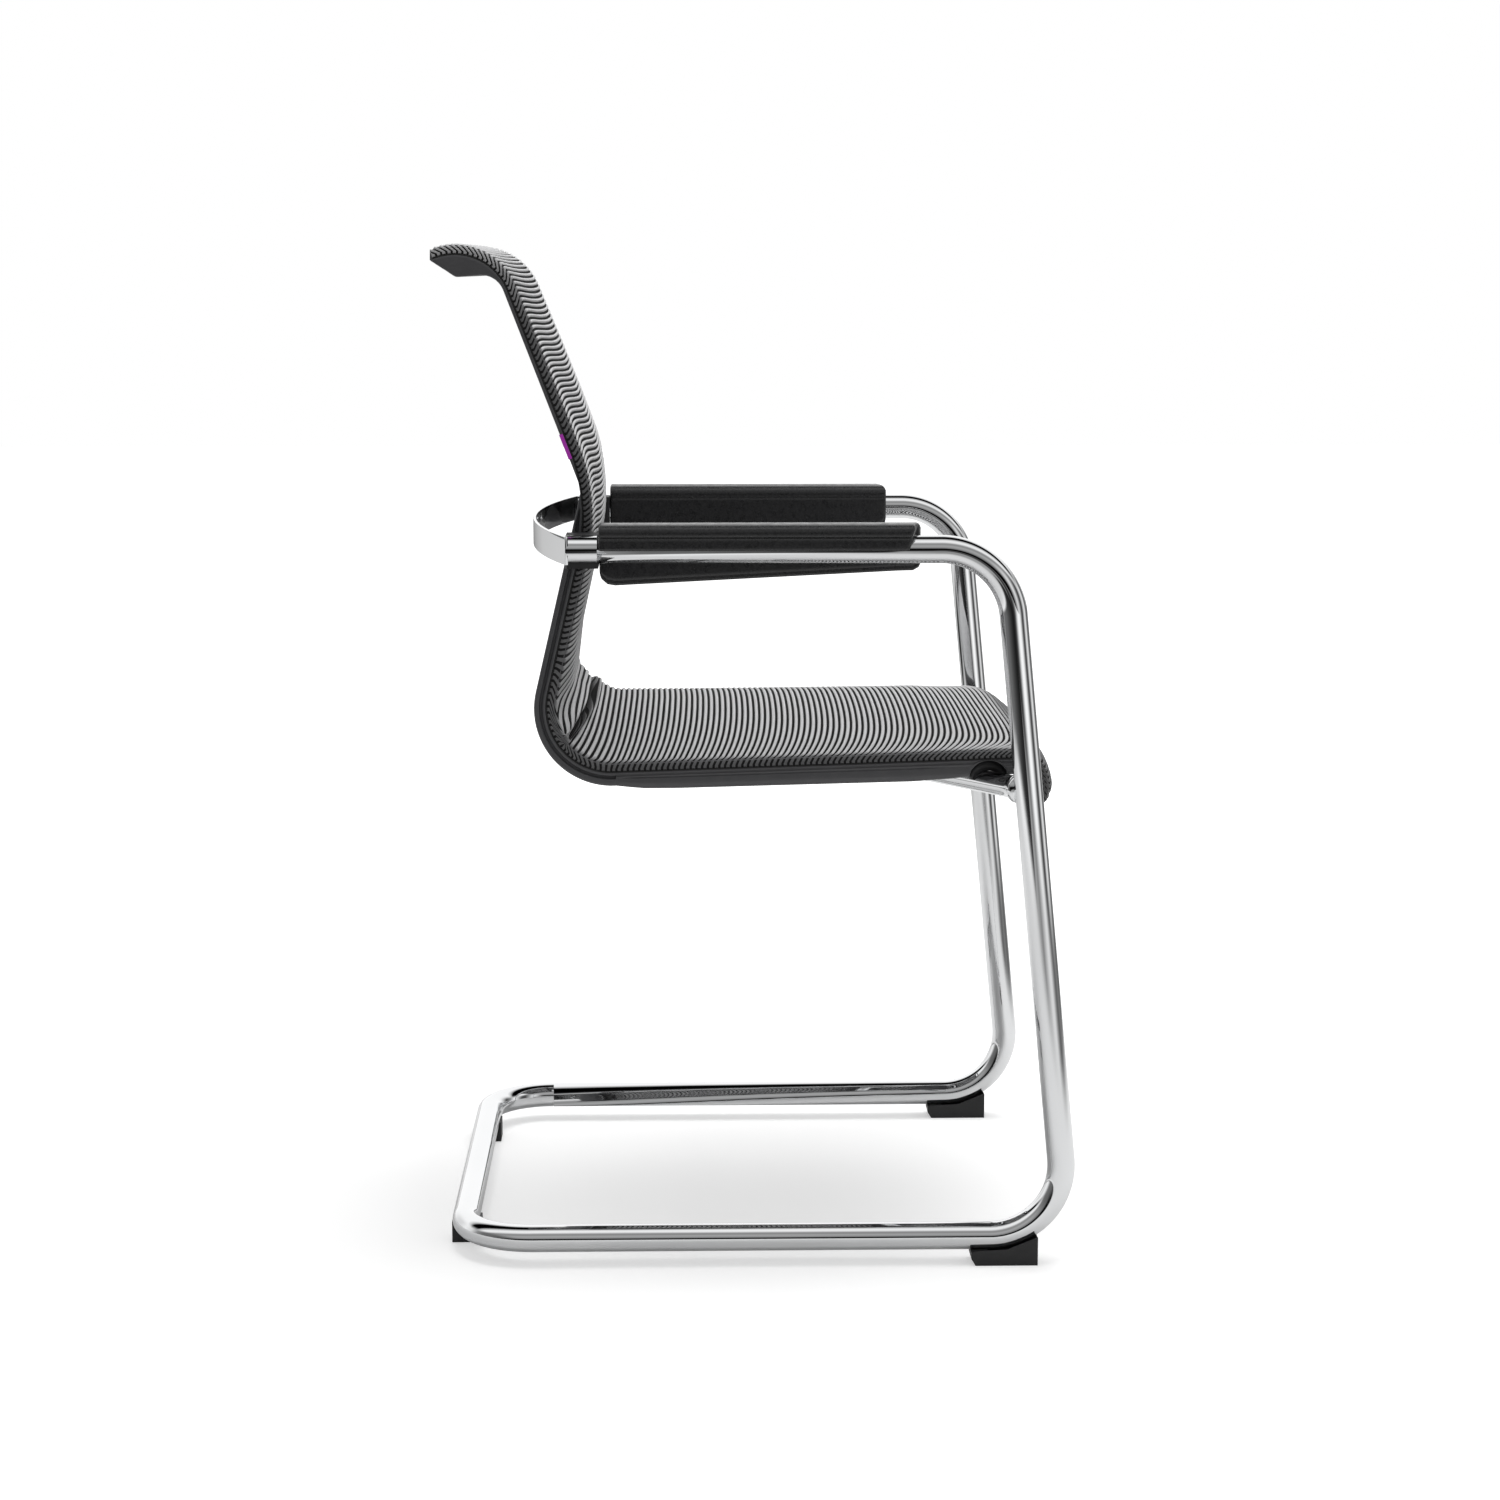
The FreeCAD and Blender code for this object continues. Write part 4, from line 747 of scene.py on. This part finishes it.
# %% Back mouldings
groove_top = length_at(133.0, 738.0)
back_places = np.unique(np.concatenate([
    [0, 1.0, 2.0, LEAD], along_curve(LEAD + 0.5, joint, 2.2), groove_top + np.linspace(-12, 12, 13),
    groove_top - 30 + np.linspace(-18, 18, 19)]))
outer = np.interp(back_places, *back_depth)
sink = np.interp(back_places, [groove_top - 1, groove_top + 5], [0.0, 4.0])
groove = (np.full(len(outer), 4.0), np.full(len(outer), 3.6), sink)
under = np.interp(back_places, [groove_top, joint - 60, joint], [1.6, 2.2, 3.0])
for side, sign in SIDES:
    side_bar(f"{side}_back_moulding", sign, back_places, outer, groove, under, 0 * outer,
             f"{side}_back_frame")
print(f"back mouldings: {len(back_places)} sections")

# %% [markdown]
# The rail under the seat runs on from the joint. Its belly is deepest behind the support tube,
# where an arch clears the tube, and it thins before it rounds the front edge.

# %% Seat rails
ARCH_R, ARCH_DROP = 19.0, 21.0
rail_middle, support_slope = (SHELL_OUTER + SHELL_INNER) / 2, slope(SUPPORT_ANGLE)
arch_reach = support_leg - (HALF_SPACING - rail_middle) * support_slope
arch_place = length_at(arch_reach, seat_height(arch_reach))
arch_edges = arch_place + np.array([-1, 1]) * (ARCH_R - 0.01)
rail_places = np.unique(np.round(np.concatenate([
    along_curve(joint, SLING_END, 1.8),
    arch_place + ARCH_R * np.sin(np.linspace(-np.pi / 2, np.pi / 2, 41)),
    arch_edges + [-0.2, 0.2], joint + np.linspace(0, 40, 11)]), 4))
past_joint = rail_places - joint
outer = np.interp(past_joint, [0, 14, 28, 60, 290, 330, 346, 386, 402, 416],
                  [JOINT_DEPTH, 16.8, 18.4, 19.4, RAIL_DEPTH, 19.0, 17.0, 16.8, 13.0, NOSE_DEPTH])
off = np.clip((rail_places - arch_place) / ARCH_R, -1, 1)
arch = np.where(np.abs(off) < 1, ARCH_DROP - ARCH_R * np.sqrt(1 - off ** 2), 99)
outer = np.minimum(outer, arch)
groove = (np.full(len(outer), 3.1), np.full(len(outer), 2.2), np.full(len(outer), 1.3))
under = np.interp(past_joint, [0, 20, 300, 360], [3.0, 7.0, 7.0, 3.0])
shelf = np.interp(past_joint, [0, 18, 300, 340], [0.0, 1.5, 1.5, 0.6]) * np.clip((outer - 8) / 8, 0, 1)
for side, sign in SIDES:
    side_bar(f"{side}_rail_moulding", sign, rail_places, outer, groove, under, shelf,
             f"{side}_seat_rail")
print(f"rails: {len(rail_places)} sections, arch over the tube at reach {arch_reach:.1f}")

# %% [markdown]
# Inside each arch a thin web closes the gap over the tube. It is a half ring: outside it follows
# the arch, and inside it follows the slanting tube.

# %% Webs over the tube
WEB_X = np.array([217.0, 223.0])
WEB_OUTER, WEB_WIDE, WEB_TALL = ARCH_R - 0.1, 13.9, SUPPORT_R + 0.3
web_turn = np.radians(np.linspace(9, 171, 45))
arch_centre = beside(sling, np.array([arch_place]), np.array([ARCH_DROP]))[0]
slant = (WEB_X - rail_middle) * support_slope
outside, inside = (WEB_OUTER, WEB_OUTER, 0, arch_centre[1]), (WEB_WIDE, WEB_TALL)
web_loop = [(WEB_X[0], *outside), (WEB_X[1], *outside), (WEB_X[1], *inside, slant[1], SUPPORT_Z),
            (WEB_X[0], *inside, slant[0], SUPPORT_Z)]
for side, sign in SIDES:
    rings = np.stack([np.column_stack([
        np.full(len(web_turn), sign * x), arch_centre[0] - shift - wide * np.cos(web_turn),
        level + tall * np.sin(web_turn)]) for x, wide, tall, shift, level in web_loop], 1)
    bar(f"{side}_arch_web", rings, glide_plastic)
print("two arch webs")

# %% [markdown]
# ## Ribbed mesh sling
# One stretched sheet covers back and seat. Its ribs are real ridges: every rib has six rows of
# points. Between the side frames the sheet stands proud by a crown C (1 - (x / 235)^N). Each
# column carries the ribs at their true spacing. Where the sheet bridges the bend from back to
# seat, its middle has a shorter way than its edges, and the surplus is tucked into a crease. The
# ribs bow: a rib's end trails its middle by A exp(-d / L) at a distance d from the edge, and on
# the back it hooks down again close to the edge. A cloth simulation would lose the ribs.

# %% Form of the sheet
PITCH = 5.7
RIB_ROWS = np.array([0.0, 0.09, 0.285, 0.48, 0.57, 0.785])
RIB_RISE = np.array([-0.5, 0.35, 0.7, 0.35, -0.5, -1.5])
EDGE = np.array([(233.0, -0.15), (234.3, -0.2), (234.8, -0.9), (234.6, -2.5), (234.0, -4.5),
                 (233.1, -6.4), (231.8, -7.7)])
EDGE_COLUMNS, FACE_COLUMNS = len(EDGE), 41
FACE_X, FACE_DEPTH, TURN_DEPTH = 229.0, -8.5, 6.0
CREASE_SET, CREASE_REACH, CREASE_WIDTH = 8.0, 60.0, 5.0
# Height, place beside the crease and width of the crease's valley and of the two lips beside it
FOLD = [(11.0, 0.0, 2.2), (-3.6, 5.5, 4.0), (-2.4, -9.0, 7.0)]
mid_seat, front_seat = length_at(337.0, 499.0), length_at(530.0, 504.0)
# Place along the side line, crown C and its power N, trail A and its reach L, hook and its reach,
# and the turned edge's own trail
FORM = np.array([
    (LEAD, 0.3, 3, 0, 60, 0, 15, -8), (45, 0.5, 3, 1, 60, 0, 15, -9), (90, 5, 3, 3, 80, 1, 16, -9),
    (150, 7.5, 3, 6, 100, 4, 20, -6), (205, 8.5, 3, 13, 120, 11, 28, -5), (255, 8, 3, 17, 120, 16, 30, -5),
    (crease - 250, 6, 3, 14, 110, 12, 28, -5), (crease - 170, 6, 3, 9, 100, 3, 28, -4.5),
    (crease - 100, 7, 3, 4, 80, 0, 20, -2), (crease - 50, 13, 3, -12, 60, 0, 14, 10),
    (crease - 8, 25, 3, -38, 60, 0, 11, 38), (crease + 2, 29, 3, 17, 60, 0, 10, -15),
    (crease + 24, 34, 2.6, 16, 60, 0, 10, -8), (crease + 60, 33, 2.3, 13, 60, 0, 10, 3),
    (crease + 130, 30.5, 2.2, 15, 58, 0, 10, 3), (mid_seat, 26.5, 2.2, 17, 50, 0, 10, 3.5),
    (front_seat - 60, 22, 2.2, 18, 30, 0, 10, 8), (front_seat - 25, 16, 2.4, 19, 20, 0, 10, 9),
    (front_seat + 5, 11, 3, 20, 18, 0, 10, 10), (front_seat + 25, 9, 4, 20, 16, 0, 10, 11),
    (front_seat + 45, 13, 5, 20, 16, 0, 10, 11), (SLING_END - 13, 16.5, 5, 20, 16, 0, 10, 11),
    (SLING_END - 4, 12.5, 5, 20, 16, 0, 10, 11), (SLING_END, 0.5, 5, 20, 16, 0, 10, 11)])
print(f"the crown reaches {FORM[:, 1].max():.0f} mm, at {FORM[FORM[:, 1].argmax(), 0]:.0f} mm along")

# %% Columns across the sheet


def sheet_columns():
    """Across the sheet: X, depth beside the side line, and 1 on the face or 0 on a turned edge."""
    face = FACE_X * np.sin(np.radians(np.linspace(-90, 90, FACE_COLUMNS)))
    x = np.concatenate([-EDGE[:, 0], face, EDGE[::-1, 0]])
    depth = np.concatenate([EDGE[:, 1], np.full(FACE_COLUMNS, FACE_DEPTH), EDGE[::-1, 1]])
    return x, depth, (np.abs(x) <= FACE_X).astype(float)


def column_lengths(place, depth):
    """Length along each column of the sheet, from the place where the bend begins."""
    steps = np.linalg.norm(np.diff(square_to(place, depth), axis=0), axis=2)
    length = np.concatenate([np.zeros((1, depth.shape[1])), np.cumsum(steps, axis=0)])
    return length - length[np.searchsorted(place, crease - 120)]


def painted_rib_shade(place, off, on_face, near_edge):
    """Painted shade on the ribs: 1 on the turned edges, more on the front roll, 2 in the crease, half on the
    lower back.
    """
    # Painted shade on the turned-down edges, which face the camera's side and get little light
    edges = (1 - on_face) * np.interp(place, [50, 120], [0.3, 1])
    # Painted shade on the front roll, which lies in shadow under the seat's front edge
    roll = np.interp(place, [SLING_END - 60, SLING_END - 46], [0, 1.5])
    # Painted shade in the crease, black where the fold is deepest
    valley = 2 * np.exp(-(off / 3.6) ** 2) * near_edge
    # Painted shade on the lower back, whose face turns down away from the light
    lower_back = np.interp(place, crease + np.array([-250, -190, -60, -25]), [0, 0.5, 0.5, 0])
    return np.maximum.reduce([edges, roll, valley, lower_back])


print(f"{len(sheet_columns()[0])} columns, {EDGE_COLUMNS} on each turned edge")

# %% Mesh sheet


def sheet_grid():
    """Rows follow the ribs: each column finds the place where the rib count has its value.

    The count at a place is the column's length there, plus the surplus tucked into the crease,
    plus the trail and less the hook, over the pitch. The depth is the edge's, less the crown, the
    fold at the crease and the rib's rise.
    """
    x, edge_level, on_face = sheet_columns()
    fine = np.linspace(LEAD, SLING_END, 4000)
    crown, power, trail, reach, hook, hook_reach, further = (
        np.interp(fine, FORM[:, 0], FORM[:, k])[:, None] for k in range(1, 8))
    crown = crown * (1 - np.minimum(np.abs(x) / SHELL_OUTER, 1) ** power) * on_face
    inside = np.maximum(FACE_X - np.abs(x), 0)
    turned = np.clip((edge_level - FACE_DEPTH) / TURN_DEPTH, 0, 1) * (1 - on_face)
    length = column_lengths(fine, np.minimum(edge_level, FACE_DEPTH) - crown)
    crease_line = crease - CREASE_SET * (1 - np.exp(-inside / CREASE_REACH))
    past = np.clip((fine[:, None] - crease_line) / CREASE_WIDTH + 0.5, 0, 1)
    bend_end = np.searchsorted(fine, crease + 90)
    surplus = np.maximum(length[bend_end, EDGE_COLUMNS] - length[bend_end], 0)
    bow = trail * np.exp(-inside / reach) - hook * np.exp(-inside / hook_reach) + further * turned
    count = (length + surplus * past + bow) / PITCH
    count = np.maximum.accumulate(count, axis=0) + 1e-6 * fine[:, None]
    whole = np.arange(np.floor(count.min()), np.ceil(count.max()))
    rows = (whole[:, None] + RIB_ROWS).ravel()
    columns = range(len(x))
    place = np.stack([np.interp(rows, count[:, k], fine) for k in columns], 1)
    bottom = [np.interp(crease_line[k], fine, length[:, k]) for k in columns]
    off, crown = (np.stack([np.interp(place[:, k], fine, values[:, k]) for k in columns], 1)
                  for values in (length - bottom, crown))
    near_edge = np.clip(inside / 14.0, 0, 1) * on_face
    fold = sum(high * np.exp(-((off - middle) / width) ** 2) for high, middle, width in FOLD)
    calm = np.clip(np.abs(off) / 3.0, 0.1, 1)
    hem = np.where(np.isin(columns, [0, len(x) - 1]), 0.3, 1)
    rise = np.tile(RIB_RISE, len(whole))[:, None] * calm * hem * (0.35 + 0.65 * on_face)
    ends = np.interp(place, [LEAD, LEAD + 2.5, SLING_END - 4, SLING_END], [3.2, 0, 0, 5.0]) * on_face
    plane = beside(sling, place, edge_level - crown + fold * near_edge - rise + ends)
    uv = np.stack(np.broadcast_arrays(x, rows[:, None]), -1)
    points = np.concatenate([uv[..., :1], plane], -1)
    return points, uv, painted_rib_shade(place, off, on_face, near_edge)


points, uv, dark = sheet_grid()
rows, columns = dark.shape
mesh = add_piece("ribbed_mesh_sling", points.reshape(-1, 3), grid_faces(rows, columns).tolist(),
                 mesh_fabric, uv.reshape(-1, 2))
# Painted shade on the points, read by the ribbed mesh finish
darkness = mesh.data.attributes.new("painted_rib_shade", "FLOAT", "POINT")
darkness.data.foreach_set("value", dark.astype(np.float32).ravel())
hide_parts("mesh_cover")
print(f"mesh: {rows} rows by {columns} columns")

# %% [markdown]
# ## Arm pads
# Each pad is firm foam under stretched leather: a rounded bead on top with a sewn crease under
# it, a flat cheek outside the tube, and a tall panel on the inner side that tapers towards the
# front. Foam this firm keeps its shape, so instead of a simulation the section is drawn as one
# loop of points round the tube and carried forward, with its ends rolled over.

# %% Section of an arm pad
PAD_REAR, PANEL_REAR, PANEL_FRONT = ARM_END + 1.4, ARM_AXIS - 36.0, ARM_AXIS - 22.0
PANEL_END, BORE, REAR_R, FRONT_R = 446.0, 13.75, 14, 9
ROLL_R, PAD_ROWS = 2.2, 40


def panel_bottom(reach):
    """Lower edge of the inner panel: a straight taper with rounded corners at both ends."""
    straight = np.interp(reach, [150, 428], [PANEL_REAR, PANEL_FRONT])
    into = np.clip(REAR_R - (reach - PAD_REAR), 0, REAR_R)
    out = np.clip(FRONT_R - (PANEL_END - reach), 0, FRONT_R)
    rear_rise, front_rise = np.sqrt(REAR_R ** 2 - into ** 2), np.sqrt(FRONT_R ** 2 - out ** 2)
    return straight + REAR_R - rear_rise + FRONT_R - front_rise


def pad_loop():
    """The section as (offset from the tube's axis, height, 1 where it follows the lower edge)."""
    arc = np.radians(np.linspace(180, 0, 17))
    tube_side = np.column_stack([BORE * np.cos(arc), ARM_AXIS + BORE * np.sin(arc)])
    outer = [(14.4, 701.95), (16.4, 701.9), (18.4, 702.1), (19.3, 703.0), (19.5, 705), (19.5, 708),
             (19.5, 711), (19.2, 712.6), (18.4, 713.7), (17.2, 714.2), (18.3, 714.7), (19.1, 716.0),
             (19.4, 718.2), (19.2, 720.4), (18.4, 722.6), (16.9, 724.4), (14.6, 725.8), (11.5, 726.6),
             (7.5, 726.95), (1, 727), (-6, 726.95), (-12, 726.6), (-16, 725.8), (-19, 724.3), (-21, 722.0),
             (-22, 719.2), (-22.2, 716.0), (-21.9, 713.9), (-21.4, 713.2), (-22.0, 712.4), (-22.2, 710),
             (-22.2, 704), (-22.2, 697), (-22.2, 690)]
    lower = [(-22.2, 8.0), (-22.1, 5.2), (-20.9, 4.4), (-21.8, 3.6), (-22.1, 2.4), (-21.6, 1.0),
             (-20.2, 0.15), (-18, 0), (-15.9, 0.15), (-14.5, 1.0), (-14.0, 2.4), (-14.2, 3.6),
             (-14.6, 4.4), (-14.0, 5.2), (-13.8, 8.0)]
    up = [(-13.8, 690), (-13.75, 697)]
    follows = [0] * len(outer) + [1] * len(lower) + [0] * (len(up) + len(tube_side))
    return np.column_stack([np.concatenate([outer, lower, up, tube_side]), follows])


print(f"{len(pad_loop())} points round a pad of {PANEL_END - PAD_REAR:.0f} mm")

# %% Arm pads


def pad_rings():
    """Sections from rear to front; near the ends each is drawn in as the leather rolls over."""
    offset, level, follows = pad_loop().T
    roll = np.radians([0, 25, 50, 70, 90])
    drawn, moved, body = ROLL_R * (1 - np.sin(roll)), ROLL_R * (1 - np.cos(roll)), np.zeros(PAD_ROWS)
    inset = np.concatenate([drawn, body, drawn[::-1]])
    shift = np.concatenate([moved, body, -moved[::-1]])
    share = np.concatenate([0 * roll, np.linspace(0, 1, PAD_ROWS + 2)[1:-1], 0 * roll + 1])
    front = np.interp(level, [702, 727], [433, 438.8])
    inner = np.where((follows > 0) | (level < 700), 1, np.interp(offset, [-21, 2], [1, 0]))
    front = front + inner * (PANEL_END - front)
    reach = PAD_REAR + 0.2 + shift[:, None] + share[:, None] * (front - PAD_REAR - 0.2)
    bottom = panel_bottom(reach)
    above = np.where(level < 700, np.maximum(level, bottom + 9), level)
    height = np.where(follows > 0, level + bottom, above)
    offset = np.tile(offset, (len(reach), 1))
    ahead_x, ahead_z = (np.roll(values, -1, 1) - np.roll(values, 1, 1) for values in (offset, height))
    draw = inset[:, None] / np.maximum(np.hypot(ahead_x, ahead_z), 1e-6)
    return offset - ahead_z * draw, reach, height + ahead_x * draw


offset, reach, height = pad_rings()
for side, sign in SIDES:
    rings = np.stack([sign * (HALF_SPACING + offset), fore(reach), height], -1)
    pad = bar(f"{side}_arm_cushion", rings, leather)
    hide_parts(f"{side}_arm_pad")
print(f"arm cushions: {offset.shape[0]} sections of {offset.shape[1]} points")

# %% [markdown]
# ## Pieces kept from the construction model
# Fittings, blocks, bolts, crossbars, straps, cords, glides and the bare tag already have their
# true shape. Their meshes stay as they are. Modifiers weld the loose triangles of each, round
# its edges with a small bevel and smooth its shading by face size.

# %% Finish the kept solids


def both(name):
    """The left and right piece of a name."""
    return [f"{side}_{name}" for side, _ in SIDES]


KEPT = {
    chrome: both("arm_fitting"),
    frame_plastic: ["top_crossbar", "rear_crossbar", "front_crossbar"],
    glide_plastic: both("front_glide") + both("rear_glide") + both("joint_block"),
    edge_rubber: both("mesh_cord"),
    coated_steel: ["seat_crossbar", *both("tube_strap")],
    zinc_steel: ["joint_bolts"],
    tag_finish: ["frame_tag"],
}
# Width of the edge rounding by the last word of a name; all others get 0.4
BEVELS = {"cord": 0, "tag": 0.15, "glide": 0.9}


def dress(name, material, bevel):
    """Give a solid its finish and modifiers without touching its mesh."""
    solid = nodes[name]
    solid.data.materials.clear()
    solid.data.materials.append(material)
    solid.data.polygons.foreach_set("use_smooth", np.ones(len(solid.data.polygons), bool))
    solid.modifiers.new("Weld", "WELD").merge_threshold = 0.00001
    if bevel:
        edge_round = solid.modifiers.new("Edges", "BEVEL")
        edge_round.width = bevel * MM
        edge_round.segments = 2
        edge_round.limit_method = "ANGLE"
        edge_round.angle_limit = np.radians(38)
    solid.modifiers.new("Shading", "WEIGHTED_NORMAL")


for material, names in KEPT.items():
    for name in names:
        dress(name, material, BEVELS.get(name.split("_")[-1], 0.4))
print(f"kept {sum(map(len, KEPT.values()))} solids")

# %% [markdown]
# ## Floor, light and camera
# The floor is white and keeps the chair's soft shadow, and two large soft lamps light the chair.
# Chrome shows what stands round it, so mirrors see a studio that other rays don't: its brightness
# depends on the direction alone. WALLS holds the walls and the far floor, ROUND the nearer floor,
# REAR a ring of floor behind the chair, and OVER the way up one wall, over the ceiling and down
# again. Dark gaps between the bright parts draw the fine dark lines along the tubes.

# %% Brightness of the studio in mirrors
# Angles in degrees from the camera's side towards the rear, or for OVER upwards
SHADE = [(21, 0.03), (37, 0.07), (60, 0.15), (75, 0.16), (85, 0.28)]
CORNER = [(160, 0.6), (172, 0.3), (180, 0.05)]
WALLS = [(-180, 0.05), (-164, 0.25), (-149, 0.55), (-126, 0.05), (-110, 0.29), (-97, 0.97), (-85, 0.58),
         (-75, 0.10), (-65, 0.06), (-55, 0.40), (-46, 0.93), (-37, 1.12), (-29, 1.09), (-20, 0.62),
         (-12, 0.16), (-4, 0.03), (8, 0.012), *SHADE, (97, 0.8), (110, 1.0), (124, 0.8), (141, 0.7), *CORNER]
REAR = [(0, 0.02), *SHADE, (97, 0.52), (110, 0.10), (124, 0.0), (132, 0.05), (141, 0.5), *CORNER]
ROUND = [(-180, 1.0), (-145, 0.5), (-128, 0.16), (-112, 0.14), (-96, 0.22), (-76, 0.13), (-64, 0.32),
         (-48, 0.80), (-38, 0.78), (-27, 0.55), (-13, 0.27), (0, 0.40), (16, 0.72), (34, 1.0), (66, 1.1),
         (90, 0.78), (110, 0.7), (132, 0.56), (158, 0.68), (180, 1.0)]
OVER = [(0, 0.0), (7, 0.0), (11, 0.16), (18, 0.34), (30, 0.42), (40, 0.3), (50, 0.32), (58, 0.75),
        (66, 0.98), (78, 0.98), (84, 0.6), (90, 0.5), (94, 0.06), (98, 0.0), (118, 0.0), (126, 0.7),
        (134, 1.1), (180, 1.1)]
TOP_LEVEL, WHITE = 1.2, (1, 1, 1, 1)
# Metres from the chair's middle over which one part of the floor fades into the next
GLOW, MIRRORED, FAR, REAR_IN, REAR_OUT = (0.8, 2.4), (1.0, 1.7), (2.3, 4.2), (1.5, 2.2), (2.7, 3.2)


def room(tree, way, stops, axis=1):
    """Brightness by the angle of a direction from the camera's side towards an axis.

    A curve runs straight between the stops. It holds 0 to 1, so the levels are shared by the top
    level before it and multiplied by it after.
    """
    parts = node(tree, "SeparateXYZ", {0: way}).outputs
    angle = sums(tree, "ARCTAN2", parts[axis], times(tree, parts[0], -1.0))
    low, high = stops[0][0], stops[-1][0]
    share = span(tree, angle, np.radians(low), np.radians(high), smooth=False)
    curve = node(tree, "FloatCurve", {"Value": share})
    points = curve.mapping.curves[0].points
    for number, (place, level) in enumerate(stops):
        spot = ((place - low) / (high - low), level / TOP_LEVEL)
        point = points[number] if number < 2 else points.new(*spot)
        point.location = spot
    for point in points:
        point.handle_type = "VECTOR"
    curve.mapping.update()
    return times(tree, curve.outputs[0], TOP_LEVEL)


def direct(tree, path):
    """1 for rays that come straight from the camera."""
    return sums(tree, "MAXIMUM", path["Is Camera Ray"], path["Is Transmission Ray"])


print(f"{len(WALLS)} stops round the walls, {len(OVER)} over the ceiling")

# %% Floor


def make_floor():
    """White to the camera and to light; to mirrors, rings of floor by distance and direction."""
    mesh = bpy.data.meshes.new("studio_floor")
    corners = [(-14, -14, 0), (14, -14, 0), (14, 14, 0), (-14, 14, 0)]
    mesh.from_pydata(corners, [], [(0, 1, 2, 3)])
    floor = put("studio_floor", mesh)
    material = bpy.data.materials.new("studio_white")
    tree = fresh_tree(material)
    place = node(tree, "TexCoord").outputs["Object"]
    away = node(tree, "VectorMath", {0: place}, operation="LENGTH").outputs["Value"]
    path = node(tree, "LightPath").outputs
    glow = times(tree, direct(tree, path), span(tree, away, *GLOW, 0.45, 1.0))
    plain = node(tree, "BsdfDiffuse", {"Color": (0.75, 0.75, 0.75, 1)})
    shine = node(tree, "Emission", {"Color": WHITE, "Strength": glow})
    near = node(tree, "AddShader", {0: plain.outputs[0], 1: shine.outputs[0]})
    y = node(tree, "SeparateXYZ", {0: place}).outputs[1]
    rear = times(tree, span(tree, away, *REAR_IN), span(tree, y, 0.0, 0.3))
    distant = sums(tree, "MAXIMUM", rear, span(tree, away, *FAR))
    outer = blend(tree, distant, room(tree, place, ROUND), room(tree, place, WALLS))
    ring = times(tree, rear, span(tree, away, *REAR_OUT, 1.0, 0.0))
    outer = blend(tree, ring, outer, room(tree, place, REAR))
    far = node(tree, "Emission", {"Color": WHITE, "Strength": outer})
    mirrored = times(tree, path["Is Glossy Ray"], span(tree, away, *MIRRORED))
    shown = node(tree, "MixShader", {0: mirrored, 1: near.outputs[0], 2: far.outputs[0]})
    node(tree, "OutputMaterial", {"Surface": shown.outputs[0]})
    mesh.materials.append(material)
    print(f"floor: {len(tree.nodes)} nodes")


make_floor()

# %% World and lamps


def studio_world():
    """White to the camera; to mirrors, a studio by direction; to everything else, a soft level.

    Low directions along the chair's length show WALLS, all others OVER.
    """
    world = bpy.data.worlds.new("studio")
    bpy.context.scene.world = world
    tree = fresh_tree(world)
    way = node(tree, "TexCoord").outputs["Generated"]
    _, y, z = node(tree, "SeparateXYZ", {0: way}).outputs
    sideways = span(tree, sums(tree, "ABSOLUTE", y), 0.35, 0.85)
    lengthwise = times(tree, sideways, span(tree, z, 0.25, 0.55, 1.0, 0.0))
    light = blend(tree, lengthwise, room(tree, way, OVER, axis=2), room(tree, way, WALLS))
    path = node(tree, "LightPath").outputs
    mirror = blend(tree, path["Is Glossy Ray"], 0.45, light)
    strength = blend(tree, direct(tree, path), mirror, 1.0)
    back = node(tree, "Background", {"Color": WHITE, "Strength": strength})
    node(tree, "OutputWorld", {"Surface": back.outputs[0]})


def lamp(name, place, target, size, power):
    """A square soft lamp turned to a target; neither camera nor mirrors see it."""
    data = bpy.data.lights.new(name, "AREA")
    data.shape = "SQUARE"
    data.size = size
    data.energy = power
    made = put(name, data)
    made.location = place
    made.rotation_euler = (Vector(target) - Vector(place)).to_track_quat("-Z", "Y").to_euler()
    made.visible_camera = made.visible_glossy = False
    print(f"lamp {name}: {power} W, {size} m wide")


studio_world()
lamp("overhead", (0.4, -0.3, 3.2), (0, 0, 0.4), 2.2, 88)
lamp("front_fill", (-0.6, -3.0, 1.8), (0, 0, 0.6), 2.0, 9)
bpy.context.scene.view_settings.view_transform = "Standard"

# %% [markdown]
# The camera stands level with the arms, beside the chair's right side and a little behind its
# middle. Its place and lens were solved from the straight tubes in the photograph.

# %% Camera
camera_data = bpy.data.cameras.new("camera")
camera = put("camera", camera_data)
YAW, PITCH_DOWN = 0.02326, 0.15146
aim = Vector((np.cos(YAW) * np.cos(PITCH_DOWN), -np.sin(YAW) * np.cos(PITCH_DOWN), -np.sin(PITCH_DOWN)))
camera.location = (-3.269, float(fore(212.7)) * MM, 0.967)
camera.rotation_euler = aim.to_track_quat("-Z", "Y").to_euler()
camera_data.sensor_width = 36
camera_data.lens = 75.97
bpy.context.scene.camera = camera
print(f"camera at {[round(c, 3) for c in camera.location]}, lens {camera_data.lens:.1f} mm")
